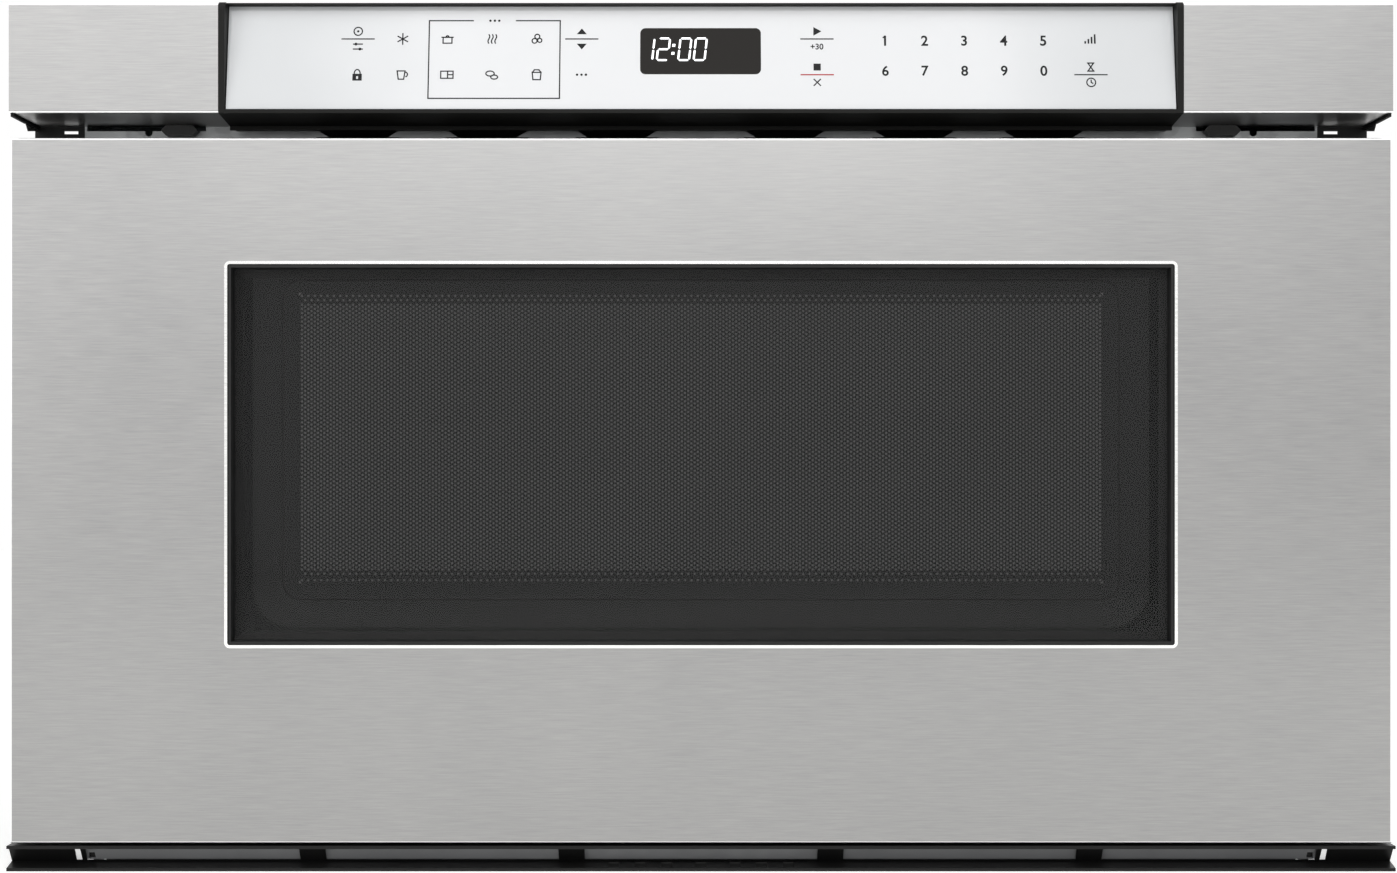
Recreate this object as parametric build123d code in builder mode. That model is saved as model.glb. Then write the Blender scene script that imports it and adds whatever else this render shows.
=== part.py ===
from build123d import *
import math
import os

# Microwave drawer: a fixed chassis that slides into a cabinet, and a cooking drawer that a
# motor runs out of its front on a rack. Millimetres; X to the right, -Y to the front, Z up.
# The origin is on the floor under the middle of the whole appliance.

# ---------------------------------------------------------------- body round the cavity
cavity_width = 456.0
cavity_height = 194.0
cavity_depth = 408.0
cavity_bottom = 94.0
cavity_bend_radius = 6.0
sheet = 1.0
side_bay = 51.5
rear_bay = 144.6
front_block_depth = 38.1
front_overlap = 23.7
foot_height = 3.0
foot_radius = 7.0
foot_inset = 12.0
foot_setback = 35.0
pan_edge = 15.0
pan_slots = 9
panel_flange = 12.0
louvre_height = 4.0
louvre_pitch = 12.0

# ---------------------------------------------------------------- top section
filler_side_setback = 1.1
filler_height = 48.0
filler_edge_setback = 1.0
filler_bend_radius = 1.2
housing_half_width = 210.7
cheek_width = 2.7
cheek_round = 3.5
housing_wall = 2.4
lip_height = 1.7
glass_thickness = 3.0
glass_lean = 7.6
glass_setback = 0.9
glass_head_gap = 0.2
top_lip_height = 0.6
top_lip_setback = 4.7
glass_end_gap = 0.4
filler_gap = 0.1
display_width = 53.0
display_height = 21.2
display_corner = 2.4
display_centre_x = -0.2
display_above_glass_foot = 26.4
board_thickness = 1.6
board_height = 34.0
board_width = 330.0

# ---------------------------------------------------------------- drawer front
drawer_side_setback = 1.5
drawer_bottom = 12.2
door_margin = 6.2
air_gap = 10.8
skin_depth = 26.0
skin_bend_radius = 1.2
window_width = 416.2
window_bottom = 97.4
window_height = 169.0
window_corner = 2.4
trim_width = 1.3
trim_depth = 3.0
bezel_groove = 0.5
bezel_groove_depth = 1.2
bezel_lip = 1.5
bezel_setback = 0.3
bezel_shelf = 4.0
pane_setback = 4.9
pane_thickness = 3.0
pane_gap = 0.2
screen_side_margin = 21.5
screen_low_margin = 18.2
screen_high_margin = 5.3
screen_corner = 7.6
screen_emboss = 0.8
screen_sheet = 0.8
screen_frame_overlap = 4.0
door_depth = 11.0
door_sheet = 1.2
door_skin_gap = 0.6

# ---------------------------------------------------------------- cavity and drawer tray
choke_width = 26.0
choke_depth = 22.0
choke_wall = 1.2
choke_finger = 30.0
choke_slot = 3.0
choke_slot_depth = 14.0
choke_cover_thickness = 3.0
tray_side_gap = 8.0
tray_lift = 4.0
tray_wall_height = 130.0
tray_back_gap = 10.0
tray_lip = 5.0
tray_sheet = 1.0
plate_thickness = 5.0
plate_inset = 2.0
plate_corner = 12.0

# ---------------------------------------------------------------- rails and drive
rail_below_cavity = 30.0
rail_tail_gap = 72.0
rail_height = 46.0
rail_wall = 1.5
rail_reach = 13.0
rail_lip = 1.2
rail_gap = 0.35
rail_shortening = 14.0
inner_rail_shortening = 72.0
rail_slot_margin = 1.2
arm_thickness = 2.0
arm_width = 15.0
gear_module = 2.0
pinion_teeth = 18
gear_width = 12.0
gear_backlash = 0.4
pressure_angle = 20.0
rack_body = 10.0
rack_below_choke = 6.0
rack_overrun = 15.75
shaft_radius = 4.0
shaft_clearance = 0.05
pinion_behind_plate = 24.0
hook_gap = 8.5
gearbox_width = 34.0
motor_radius = 19.0
motor_length = 62.0

# ---------------------------------------------------------------- base grille
grille_height = 11.1
grille_sheet = 1.0
grille_lip = 1.4
grille_valley_depth = 8.0
grille_valley_height = 3.2
grille_top_setback = 3.2
grille_end_width = 28.6
grille_slot_width = 2.6
grille_post_width = 11.4
grille_post_pitch = 113.6
grille_post_count = 4

# ---------------------------------------------------------------- upper works
wave_width = 92.0
wave_height = 34.0
chamber_size = 210.0
chamber_height = 24.0
ceiling_hole_radius = 90.0
stirrer_radius = 84.0
stirrer_blades = 5
cover_sheet = 1.0
fan_bore_radius = 54.0
fan_blades = 7
fan_frame_width = 120.0
fan_length = 25.0
vent_width = 37.5
vent_height = 13.0
vent_flare_height = 3.2
vent_flare_angle = 149

# ---------------------------------------------------------------- places worked out from them
body_width = cavity_width + 2 * side_bay
overall_width = body_width + 2 * front_overlap
overall_depth = front_block_depth + cavity_depth + rear_bay + 3 * sheet
cavity_top = cavity_bottom + cavity_height
drawer_top = cavity_top + choke_width + door_margin
drawer_height = drawer_top - drawer_bottom
drawer_width = overall_width - 2 * drawer_side_setback
section_bottom = drawer_top + air_gap
overall_height = section_bottom + filler_height + filler_edge_setback
y_front = -overall_depth / 2
y_rear = overall_depth / 2
y_face = y_front + front_block_depth
y_inside = y_face + sheet
y_back_inside = y_rear - sheet
y_cavity_back = y_inside + cavity_depth
y_bay = y_cavity_back + sheet
body_half = body_width / 2
side_inside = body_half - sheet
body_bottom = foot_height
body_top = overall_height - sheet
floor_top = body_bottom + sheet
filler_outer = overall_width / 2 - filler_side_setback
filler_inner = housing_half_width + filler_gap
filler_width = filler_outer - filler_inner
window_centre_z = window_bottom + window_height / 2
y_door_back = y_front + door_depth
cavity_mid_z = cavity_bottom + cavity_height / 2
tray_half = cavity_width / 2 - tray_side_gap
tray_bottom = cavity_bottom + tray_lift
y_tray_back = y_cavity_back - tray_back_gap
rail_centre_z = cavity_bottom - rail_below_cavity
rail_length = y_bay + rail_tail_gap - y_inside
rack_top = cavity_bottom - choke_width - rack_below_choke
rack_tail = y_cavity_back + rack_overrun
pitch_radius = gear_module * pinion_teeth / 2
pitch_line_z = rack_top - rack_body
pinion_z = pitch_line_z - pitch_radius
pinion_y = y_inside + pinion_behind_plate
rail_outer_x = side_inside
hook_x = side_inside - hook_gap
hook_z = cavity_mid_z + 9.0
stirrer_y = y_inside + cavity_depth / 2 + 3.75
magnetron_y = y_bay + 48.0
wave_tail = magnetron_y + 41.0
fan_x = side_inside - 128.5
fan_z = cavity_mid_z - 41.0


def upright(y):
    """Plane across the appliance at depth y, looking to the front."""
    return Plane.XZ.offset(-y)


def finish(piece, name):
    """Labels a finished piece and writes it to its own file."""
    piece.part.label = name
    export_step(piece.part, f"parts/{name}.step")


def finish_pair(piece, name):
    """Writes a right-hand piece and its mirror image for the left."""
    finish(piece, f"{name}_right")
    with BuildPart() as twin:
        mirror(piece.part, about=Plane.YZ)
    finish(twin, f"{name}_left")


os.makedirs("parts", exist_ok=True)

# ================================================================ chassis
pan_length = y_back_inside - y_inside
pan_middle_y = (y_back_inside + y_inside) / 2

with BuildPart() as base_pan:
    with BuildSketch(Plane.XY.offset(body_bottom)):
        with Locations((0, pan_middle_y)):
            Rectangle(2 * side_inside, pan_length)
    extrude(amount=pan_edge)
    offset(amount=-sheet, openings=base_pan.faces().sort_by(Axis.Z)[-1])
    with BuildSketch(Plane.XY.offset(body_bottom)):
        with Locations((0, y_inside + 90)):
            with GridLocations(32, 0, pan_slots, 1):
                Rectangle(6, 60)
        with Locations((fan_x, y_back_inside - 70)):
            with GridLocations(16, 0, 6, 1):
                Rectangle(6, 50)
    extrude(amount=sheet, mode=Mode.SUBTRACT)
finish(base_pan, "base_pan")

foot_x = body_half - foot_inset
with BuildPart() as feet:
    with BuildSketch():
        with Locations((0, pan_middle_y)):
            with GridLocations(2 * foot_x, pan_length - 2 * foot_setback, 2, 2):
                RegularPolygon(foot_radius, 12)
    extrude(amount=foot_height, taper=8)
finish(feet, "feet")

with BuildPart() as side_panel:
    with BuildSketch(upright(y_inside)):
        with BuildLine():
            Polyline(
                (side_inside, body_bottom),
                (body_half, body_bottom),
                (body_half, body_top),
                (body_half - panel_flange, body_top),
                (body_half - panel_flange, body_top - sheet),
                (side_inside, body_top - sheet),
                close=True,
            )
        make_face()
    extrude(amount=-pan_length)
    with BuildSketch(Plane.YZ.offset(side_inside)):
        with Locations((y_back_inside - 90, body_top - 90)):
            with GridLocations(0, louvre_pitch, 1, 7):
                Rectangle(90, louvre_height)
    extrude(amount=sheet, mode=Mode.SUBTRACT)
finish_pair(side_panel, "side_panel")

with BuildPart() as top_cover:
    with BuildSketch(Plane.XY.offset(body_top)):
        with Locations((0, pan_middle_y)):
            Rectangle(body_width, pan_length)
    extrude(amount=sheet)
    with BuildSketch(Plane.XY.offset(body_top + sheet)):
        with Locations((0, y_inside + pan_length * 0.45)):
            RectangleRounded(body_width - 180, pan_length - 320, 20)
    extrude(amount=-sheet / 2, mode=Mode.SUBTRACT)
finish(top_cover, "top_cover")

bushing_x = 79.5 - body_half
bushing_z = floor_top + 56.0
bushing_hole = 11.0
with BuildPart() as back_panel:
    with BuildSketch(upright(y_back_inside)):
        with Locations((0, (body_bottom + overall_height) / 2)):
            Rectangle(body_width, overall_height - body_bottom)
        with Locations((fan_x, fan_z)):
            with GridLocations(0, 10, 1, 10):
                Rectangle(88, 5, mode=Mode.SUBTRACT)
        with Locations((bushing_x, bushing_z)):
            Circle(bushing_hole, mode=Mode.SUBTRACT)
        with Locations((-body_width / 4, cavity_top - 40)):
            with GridLocations(0, louvre_pitch, 1, 6):
                Rectangle(80, louvre_height, mode=Mode.SUBTRACT)
    extrude(amount=-sheet)
finish(back_panel, "back_panel")

bushing_bore = 4.6
bushing_inner = 8.0
with BuildPart() as cord_bushing:
    with BuildSketch(upright(y_rear)):
        with Locations((bushing_x, bushing_z)):
            Circle(bushing_hole)
    extrude(amount=bushing_inner)
    with BuildSketch(upright(y_back_inside)):
        with Locations((bushing_x, bushing_z)):
            RegularPolygon(bushing_hole + 2.5, 8)
    extrude(amount=bushing_inner - sheet)
    with BuildSketch(upright(y_rear)):
        with Locations((bushing_x, bushing_z)):
            Circle(bushing_bore)
    extrude(amount=bushing_inner, mode=Mode.SUBTRACT)
finish(cord_bushing, "cord_bushing")

vent_top = section_bottom - 1.5
vent_first_x = 38.2
vent_pitch = 58.6
vent_centres = [s * (vent_first_x + k * vent_pitch) for s in (-1, 1) for k in range(3)]
rail_slot_width = rail_reach + rail_slot_margin
rail_slot_x = rail_outer_x - rail_wall / 2 - rail_slot_width / 2
rack_slot_width = gear_width + 8
rack_slot_bottom = pitch_line_z - gear_module - 4
rack_slot_top = rack_top + 4
filler_slot_width = 54.0
filler_slot_height = 2.0
filler_slot_x = 251.5
filler_hole_radius = 1.8
filler_hole_z = section_bottom - 2.6
with BuildPart() as front_plate:
    with BuildSketch(upright(y_face)):
        with Locations((0, (body_bottom + overall_height) / 2)):
            Rectangle(body_width, overall_height - body_bottom)
        with Locations((0, cavity_mid_z)):
            Rectangle(cavity_width, cavity_height, mode=Mode.SUBTRACT)
        with Locations((rail_slot_x, rail_centre_z), (-rail_slot_x, rail_centre_z)):
            Rectangle(rail_slot_width, rail_height - rail_wall, mode=Mode.SUBTRACT)
        with Locations((0, (rack_slot_bottom + rack_slot_top) / 2)):
            Rectangle(rack_slot_width, rack_slot_top - rack_slot_bottom, mode=Mode.SUBTRACT)
        with Locations((hook_x, hook_z), (-hook_x, hook_z)):
            Rectangle(8, 34, mode=Mode.SUBTRACT)
        with Locations(*[(x, vent_top - (vent_height + vent_flare_height) / 2) for x in vent_centres]):
            Rectangle(vent_width, vent_height - vent_flare_height, mode=Mode.SUBTRACT)
        with Locations(*[(x, vent_top - vent_flare_height / 2) for x in vent_centres]):
            Trapezoid(vent_width, vent_flare_height, vent_flare_angle, mode=Mode.SUBTRACT)
        with Locations(*[(s * filler_slot_x, section_bottom - filler_slot_height / 2) for s in (-1, 1)]):
            Rectangle(filler_slot_width, filler_slot_height, mode=Mode.SUBTRACT)
        with Locations(*[(s * (filler_slot_x - 1), filler_hole_z) for s in (-1, 1)]):
            RegularPolygon(filler_hole_radius, 10, mode=Mode.SUBTRACT)
    extrude(amount=-sheet)
finish(front_plate, "front_plate")

# ---------------------------------------------------------------- cabinet flanges
flange_sheet = 1.2
flange_leg = 24.0
flange_outer = filler_outer
flange_bottom = grille_height + 1.0
flange_hole_radius = 2.3
flange_hole_inset = 9.0
flange_hole_spacing = 240.0
flange_hole_mid_z = (flange_bottom + section_bottom) / 2 + 8.45
sight_hole_width = 6.5
sight_hole_height = 1.4
with BuildPart() as mounting_flange:
    with BuildSketch(Plane.XY.offset(flange_bottom)):
        with BuildLine():
            Polyline(
                (body_half, y_face),
                (flange_outer, y_face),
                (flange_outer, y_face + flange_sheet),
                (body_half + flange_sheet, y_face + flange_sheet),
                (body_half + flange_sheet, y_face + flange_leg),
                (body_half, y_face + flange_leg),
                close=True,
            )
        make_face()
    extrude(amount=section_bottom - flange_bottom)
    with BuildSketch(upright(y_face)):
        with Locations((body_half + 3 + sight_hole_width / 2, section_bottom - 2.6)):
            Rectangle(sight_hole_width, sight_hole_height)
        with Locations((flange_outer - flange_hole_inset, flange_hole_mid_z)):
            with GridLocations(0, flange_hole_spacing, 1, 2):
                Circle(flange_hole_radius)
    extrude(amount=-flange_sheet, mode=Mode.SUBTRACT)
finish_pair(mounting_flange, "mounting_flange")

screw_count = 4
screw_pitch = (section_bottom - flange_bottom) * 0.28
with BuildPart() as flange_screws:
    for side in (-1, 1):
        with BuildSketch(Plane.YZ.offset(side * (body_half + flange_sheet))):
            with Locations((y_face + flange_leg / 2 + 3, (flange_bottom + section_bottom) / 2)):
                with GridLocations(0, screw_pitch, 1, screw_count):
                    RegularPolygon(3.6, 6)
        extrude(amount=side * 1.8)
finish(flange_screws, "flange_screws")

# ---------------------------------------------------------------- stainless fillers
filler_tab_drop = 4.3
filler_tab_start = front_block_depth * 0.47
filler_tab_full = front_block_depth * 0.62
with BuildPart() as trim_filler:
    with BuildSketch(upright(y_front)):
        with Locations((filler_inner + filler_width / 2, section_bottom + filler_height / 2)):
            Rectangle(filler_width, filler_height)
    extrude(amount=-front_block_depth)
    fillet(trim_filler.edges().filter_by(Axis.X).group_by(Axis.Y)[0], filler_bend_radius)
    offset(amount=-sheet, openings=trim_filler.faces().sort_by(Axis.Y)[-1])
    with BuildSketch(Plane.YZ.offset(filler_outer - sheet)):
        with BuildLine():
            Polyline(
                (y_front + filler_tab_start, section_bottom + 1),
                (y_front + filler_tab_full, section_bottom - filler_tab_drop),
                (y_face - 1, section_bottom - filler_tab_drop / 2),
                (y_face - 1, section_bottom + 1),
                close=True,
            )
        make_face()
    extrude(amount=sheet)
finish_pair(trim_filler, "trim_filler")

# ---------------------------------------------------------------- control housing
glass_foot_z = section_bottom + lip_height + 0.2
glass_head_z = overall_height - top_lip_height
glass_angle = math.degrees(math.atan2(glass_lean, glass_head_z - glass_foot_z))
lean = math.radians(glass_angle)
glass_height = (glass_head_z - glass_head_gap - glass_foot_z) / math.cos(lean)
glass_half_width = housing_half_width - cheek_width - glass_end_gap
seat_foot_y = y_front + glass_setback + glass_thickness * math.cos(lean)
seat_foot_z = glass_foot_z - glass_thickness * math.sin(lean)
seat_head_y = seat_foot_y + (overall_height - seat_foot_z) * math.tan(lean)
shelf_lip_y = y_front + 24.0
underside_drop = 2.0
under_lip_drop = 3.6
with BuildPart() as control_housing:
    with BuildSketch(Plane.YZ.offset(-housing_half_width)):
        with BuildLine():
            Polyline(
                (y_front, section_bottom),
                (y_front, section_bottom + lip_height),
                (seat_foot_y, seat_foot_z),
                (seat_head_y - top_lip_height * math.tan(lean), glass_head_z),
                (y_front + top_lip_setback, glass_head_z),
                (y_front + top_lip_setback, overall_height),
                (y_face, overall_height),
                (y_face, section_bottom - underside_drop),
                (shelf_lip_y + 2, section_bottom - underside_drop),
                (shelf_lip_y + 2, section_bottom - under_lip_drop),
                (shelf_lip_y, section_bottom - under_lip_drop),
                (shelf_lip_y, section_bottom - underside_drop),
                close=True,
            )
        make_face()
    extrude(amount=2 * housing_half_width)
    with BuildSketch(Plane.YZ.offset(-housing_half_width + cheek_width)):
        with BuildLine():
            Polyline(
                (seat_foot_y + housing_wall, section_bottom + housing_wall),
                (seat_head_y + housing_wall, overall_height - housing_wall),
                (y_face, overall_height - housing_wall),
                (y_face, section_bottom + housing_wall - underside_drop + 1),
                close=True,
            )
        make_face()
    extrude(amount=2 * (housing_half_width - cheek_width), mode=Mode.SUBTRACT)
    for side in (-1, 1):
        with BuildSketch(Plane.YZ.offset(side * (housing_half_width - cheek_width))):
            with BuildLine():
                Line((y_front, section_bottom), (y_front, overall_height - cheek_round))
                RadiusArc(
                    (y_front, overall_height - cheek_round),
                    (y_front + cheek_round, overall_height),
                    cheek_round,
                )
                Line((y_front + cheek_round, overall_height), (seat_head_y + 2, overall_height))
                Line((seat_head_y + 2, overall_height), (seat_head_y + 2, section_bottom))
                Line((seat_head_y + 2, section_bottom), (y_front, section_bottom))
            make_face()
        extrude(amount=side * cheek_width)
    with BuildSketch(upright(seat_head_y - 4)):
        with Locations((display_centre_x, glass_foot_z + display_above_glass_foot)):
            Rectangle(display_width - 4, display_height - 4)
    extrude(amount=-9, mode=Mode.SUBTRACT)
finish(control_housing, "control_housing")

glass_plane = Plane(
    origin=(0, y_front + glass_setback, glass_foot_z),
    x_dir=(1, 0, 0),
    z_dir=(0, -math.cos(lean), math.sin(lean)),
)
with BuildPart() as control_glass:
    with BuildSketch(glass_plane):
        with Locations((0, glass_height / 2)):
            Rectangle(2 * glass_half_width, glass_height)
        with Locations((display_centre_x, display_above_glass_foot)):
            RectangleRounded(display_width, display_height, display_corner, mode=Mode.SUBTRACT)
    extrude(amount=-glass_thickness)
finish(control_glass, "control_glass")

with BuildPart() as display_lens:
    with BuildSketch(glass_plane):
        with Locations((display_centre_x, display_above_glass_foot)):
            RectangleRounded(display_width, display_height, display_corner)
    extrude(amount=-glass_thickness)
finish(display_lens, "display_lens")

board_y = y_front + 22.0
board_z = section_bottom + filler_height / 2 + 0.5
with BuildPart() as control_board:
    with BuildSketch(upright(board_y)):
        with Locations((0, board_z)):
            Rectangle(board_width, board_height)
    extrude(amount=-board_thickness)
    with BuildSketch(upright(board_y + board_thickness)):
        with Locations((-110, board_z), (60, board_z + 4)):
            Rectangle(26, 22)
        with Locations((-50, board_z - 6)):
            Rectangle(40, 12)
    extrude(amount=-9)
    with BuildSketch(upright(board_y + board_thickness)):
        with Locations((0, board_z)):
            with GridLocations(board_width - 12, board_height - 8, 2, 2):
                RegularPolygon(2.8, 6)
    extrude(amount=-(y_face - board_y - board_thickness))
    with BuildSketch(upright(board_y)):
        with Locations((display_centre_x, glass_foot_z + display_above_glass_foot)):
            Rectangle(display_width - 6, display_height - 6)
    extrude(amount=5)
finish(control_board, "control_board")

# ================================================================ base grille
valley_y = y_front + grille_valley_depth
grille_half = overall_width / 2
grille_low = 0.6
web_mid_z = (grille_height - grille_lip + grille_valley_height) / 2
web_height = grille_height - grille_lip - grille_valley_height - 2 * grille_low
grille_bay = grille_post_pitch - grille_post_width
grille_slot_x = grille_half - grille_end_width - grille_slot_width / 2
end_bay_low = grille_post_pitch * (grille_post_count - 1) / 2 + grille_post_width / 2
end_bay_width = grille_slot_x - grille_slot_width / 2 - 2.0 - end_bay_low
leaf_hole_width = 4.9
leaf_hole_depth = 5.2
leaf_hole_x = [s * x for s in (-1, 1) for x in (15.05, 26.6, 38.4)]
with BuildPart() as base_grille:
    with BuildSketch(Plane.YZ.offset(-grille_half)):
        with BuildLine():
            Polyline(
                (y_face, grille_height),
                (y_front, grille_height),
                (y_front, grille_height - grille_lip),
                (y_front + grille_top_setback, grille_height - grille_lip),
                (valley_y, grille_valley_height),
                (y_front, grille_lip),
                (y_front, 0),
                (y_front + grille_sheet, 0),
                (y_front + grille_sheet, grille_lip - 0.4),
                (valley_y + grille_sheet, grille_valley_height - grille_low),
                (y_front + grille_top_setback + grille_sheet, grille_height - grille_sheet),
                (y_face, grille_height - grille_sheet),
                close=True,
            )
        make_face()
    extrude(amount=2 * grille_half)
    with BuildSketch(upright(y_front + 2)):
        with Locations((0, web_mid_z)):
            with GridLocations(grille_post_pitch, 0, grille_post_count - 1, 1):
                Rectangle(grille_bay, web_height)
        for side in (-1, 1):
            with Locations((side * (end_bay_low + end_bay_width / 2), web_mid_z)):
                Rectangle(end_bay_width, web_height)
            with Locations((side * grille_slot_x, web_mid_z)):
                Rectangle(grille_slot_width, web_height)
    extrude(amount=-8, mode=Mode.SUBTRACT)
    with BuildSketch(Plane.XY):
        with Locations(*[(x, y_front + grille_valley_depth / 2) for x in [0, *leaf_hole_x]]):
            Rectangle(leaf_hole_width, leaf_hole_depth)
    extrude(amount=grille_valley_height, mode=Mode.SUBTRACT)
finish(base_grille, "base_grille")

# The strip behind the grille's windows, with the legs that hold it to the front plate.
leg_x = body_half - 10.0
leg_depth = 22.0
leg_thickness = 3.0
leg_hole = 4.0
leg_sight_z = 5.9
leg_sight_height = 2.6
leg_sight_depth = 12.0
strip_gap = 0.5
strip_top = grille_height - grille_sheet - 0.3
strip_y = y_front + grille_top_setback + grille_sheet + strip_gap
strip_foot_y = valley_y + grille_sheet + strip_gap
strip_low = grille_valley_height + grille_low
with BuildPart() as grille_brackets:
    with BuildSketch(Plane.YZ.offset(-leg_x)):
        with BuildLine():
            Polyline(
                (strip_y, strip_top),
                (strip_foot_y, strip_low),
                (y_face, strip_low),
                (y_face, strip_low + grille_sheet),
                (strip_foot_y + grille_sheet, strip_low + grille_sheet),
                (strip_y + grille_sheet, strip_top),
                close=True,
            )
        make_face()
    extrude(amount=2 * leg_x)
    with BuildSketch(upright(y_front)):
        with Locations(*[(s * (leg_x - leg_thickness / 2), leg_sight_z) for s in (-1, 1)]):
            Rectangle(leg_thickness, leg_sight_height)
    extrude(amount=-leg_sight_depth, mode=Mode.SUBTRACT)
    for side in (-1, 1):
        with BuildSketch(Plane.YZ.offset(side * leg_x)):
            with Locations((y_face - leg_depth / 2, (1.5 + strip_top) / 2)):
                Rectangle(leg_depth, strip_top - 1.5)
            with Locations((y_face - leg_depth + leg_hole, strip_low + grille_sheet + leg_hole / 2)):
                Rectangle(leg_hole, leg_hole - 1, mode=Mode.SUBTRACT)
        extrude(amount=-side * leg_thickness)
finish(grille_brackets, "grille_brackets")

# ================================================================ cooking cavity
with BuildPart() as cavity_shell:
    with BuildSketch(upright(y_inside)):
        with Locations((0, cavity_mid_z)):
            Rectangle(cavity_width + 2 * sheet, cavity_height + 2 * sheet)
    extrude(amount=-(cavity_depth + sheet))
    fillet(cavity_shell.edges().filter_by(Axis.Y), cavity_bend_radius)
    offset(amount=-sheet, openings=cavity_shell.faces().sort_by(Axis.Y)[0])
    with BuildSketch(Plane.XY.offset(cavity_top)):
        with Locations((0, stirrer_y)):
            Circle(ceiling_hole_radius)
    extrude(amount=sheet, mode=Mode.SUBTRACT)
    with BuildSketch(upright(y_cavity_back)):
        with Locations((fan_x, cavity_top - 30)):
            with GridLocations(8, 0, 8, 1):
                Rectangle(3, 30)
    extrude(amount=-sheet, mode=Mode.SUBTRACT)
finish(cavity_shell, "cavity_shell")

with BuildPart() as waveguide_cover:
    with BuildSketch(Plane.XY.offset(cavity_top)):
        with Locations((0, stirrer_y)):
            Rectangle(2 * ceiling_hole_radius + 16, 2 * ceiling_hole_radius + 16)
            with GridLocations(2 * ceiling_hole_radius, 2 * ceiling_hole_radius, 2, 2):
                RegularPolygon(2.2, 6, mode=Mode.SUBTRACT)
    extrude(amount=-cover_sheet)
finish(waveguide_cover, "waveguide_cover")

wave_bottom = cavity_top + sheet
chamber_top = wave_bottom + chamber_height
wave_front = stirrer_y + chamber_size / 2
stirrer_shaft_radius = 2.5
antenna_hole = 9.0
with BuildPart() as waveguide:
    with BuildSketch(Plane.XY.offset(wave_bottom)):
        with Locations((0, stirrer_y)):
            Rectangle(chamber_size, chamber_size)
    extrude(amount=chamber_height)
    with BuildSketch(Plane.XY.offset(wave_bottom)):
        with Locations((0, (wave_front - 20 + wave_tail) / 2)):
            Rectangle(wave_width, wave_tail - wave_front + 20)
    extrude(amount=wave_height)
    with BuildSketch(Plane.XY.offset(wave_bottom)):
        with Locations((0, stirrer_y)):
            Rectangle(chamber_size - 2 * sheet, chamber_size - 2 * sheet)
    extrude(amount=chamber_height - sheet, mode=Mode.SUBTRACT)
    with BuildSketch(Plane.XY.offset(wave_bottom + sheet)):
        with Locations((0, (wave_front - 20 + wave_tail) / 2)):
            Rectangle(wave_width - 2 * sheet, wave_tail - wave_front + 20 - 2 * sheet)
    extrude(amount=wave_height - 2 * sheet, mode=Mode.SUBTRACT)
    with BuildSketch(Plane.XY.offset(chamber_top)):
        with Locations((0, stirrer_y)):
            Circle(stirrer_shaft_radius + 3)
    extrude(amount=-sheet, mode=Mode.SUBTRACT)
    with BuildSketch(Plane.XY.offset(wave_bottom)):
        with Locations((0, magnetron_y)):
            Circle(antenna_hole)
    extrude(amount=sheet, mode=Mode.SUBTRACT)
finish(waveguide, "waveguide")

stirrer_low = wave_bottom + 3.0
stirrer_motor_height = 18.0
stirrer_hub_height = 8.0
with BuildPart() as stirrer_motor:
    with BuildSketch(Plane.XY.offset(chamber_top)):
        with Locations((0, stirrer_y)):
            RegularPolygon(24, 20)
            Rectangle(70, 14)
    extrude(amount=1.5)
    with BuildSketch(Plane.XY.offset(chamber_top + 1.5)):
        with Locations((0, stirrer_y)):
            RegularPolygon(24, 20)
    extrude(amount=stirrer_motor_height - 1.5)
    chamfer(stirrer_motor.faces().sort_by(Axis.Z)[-1].edges(), 1.5)
    with BuildSketch(Plane.XY.offset(chamber_top)):
        with Locations((0, stirrer_y)):
            Circle(stirrer_shaft_radius + shaft_clearance)
    extrude(amount=stirrer_motor_height - 4, mode=Mode.SUBTRACT)
finish(stirrer_motor, "stirrer_motor")

blade_lift = 9.0
with BuildPart() as stirrer_fan:
    with BuildSketch(Plane.XY.offset(stirrer_low)):
        with Locations((0, stirrer_y)):
            RegularPolygon(9, 12)
    extrude(amount=stirrer_hub_height)
    with BuildSketch(Plane.XY.offset(stirrer_low)):
        with Locations((0, stirrer_y)):
            Circle(stirrer_shaft_radius)
    extrude(amount=chamber_top - stirrer_low + stirrer_motor_height - 6)
    for turn in range(stirrer_blades):
        angle = 360 / stirrer_blades * turn
        blade_plane = Plane(origin=(0, stirrer_y, stirrer_low)).rotated((0, 0, angle))
        with BuildSketch(blade_plane):
            with BuildLine():
                Polyline(
                    (5, -7),
                    (stirrer_radius - 6, -13),
                    (stirrer_radius, -9),
                    (stirrer_radius, 4),
                    (5, 7),
                    close=True,
                )
            make_face()
        extrude(amount=sheet)
        with BuildSketch(blade_plane):
            with BuildLine():
                Polyline(
                    (30, -9.6),
                    (stirrer_radius - 6, -13),
                    (stirrer_radius - 6, -13 + sheet),
                    (30, -9.6 + sheet),
                    close=True,
                )
            make_face()
        extrude(amount=blade_lift)
finish(stirrer_fan, "stirrer_fan")

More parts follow.
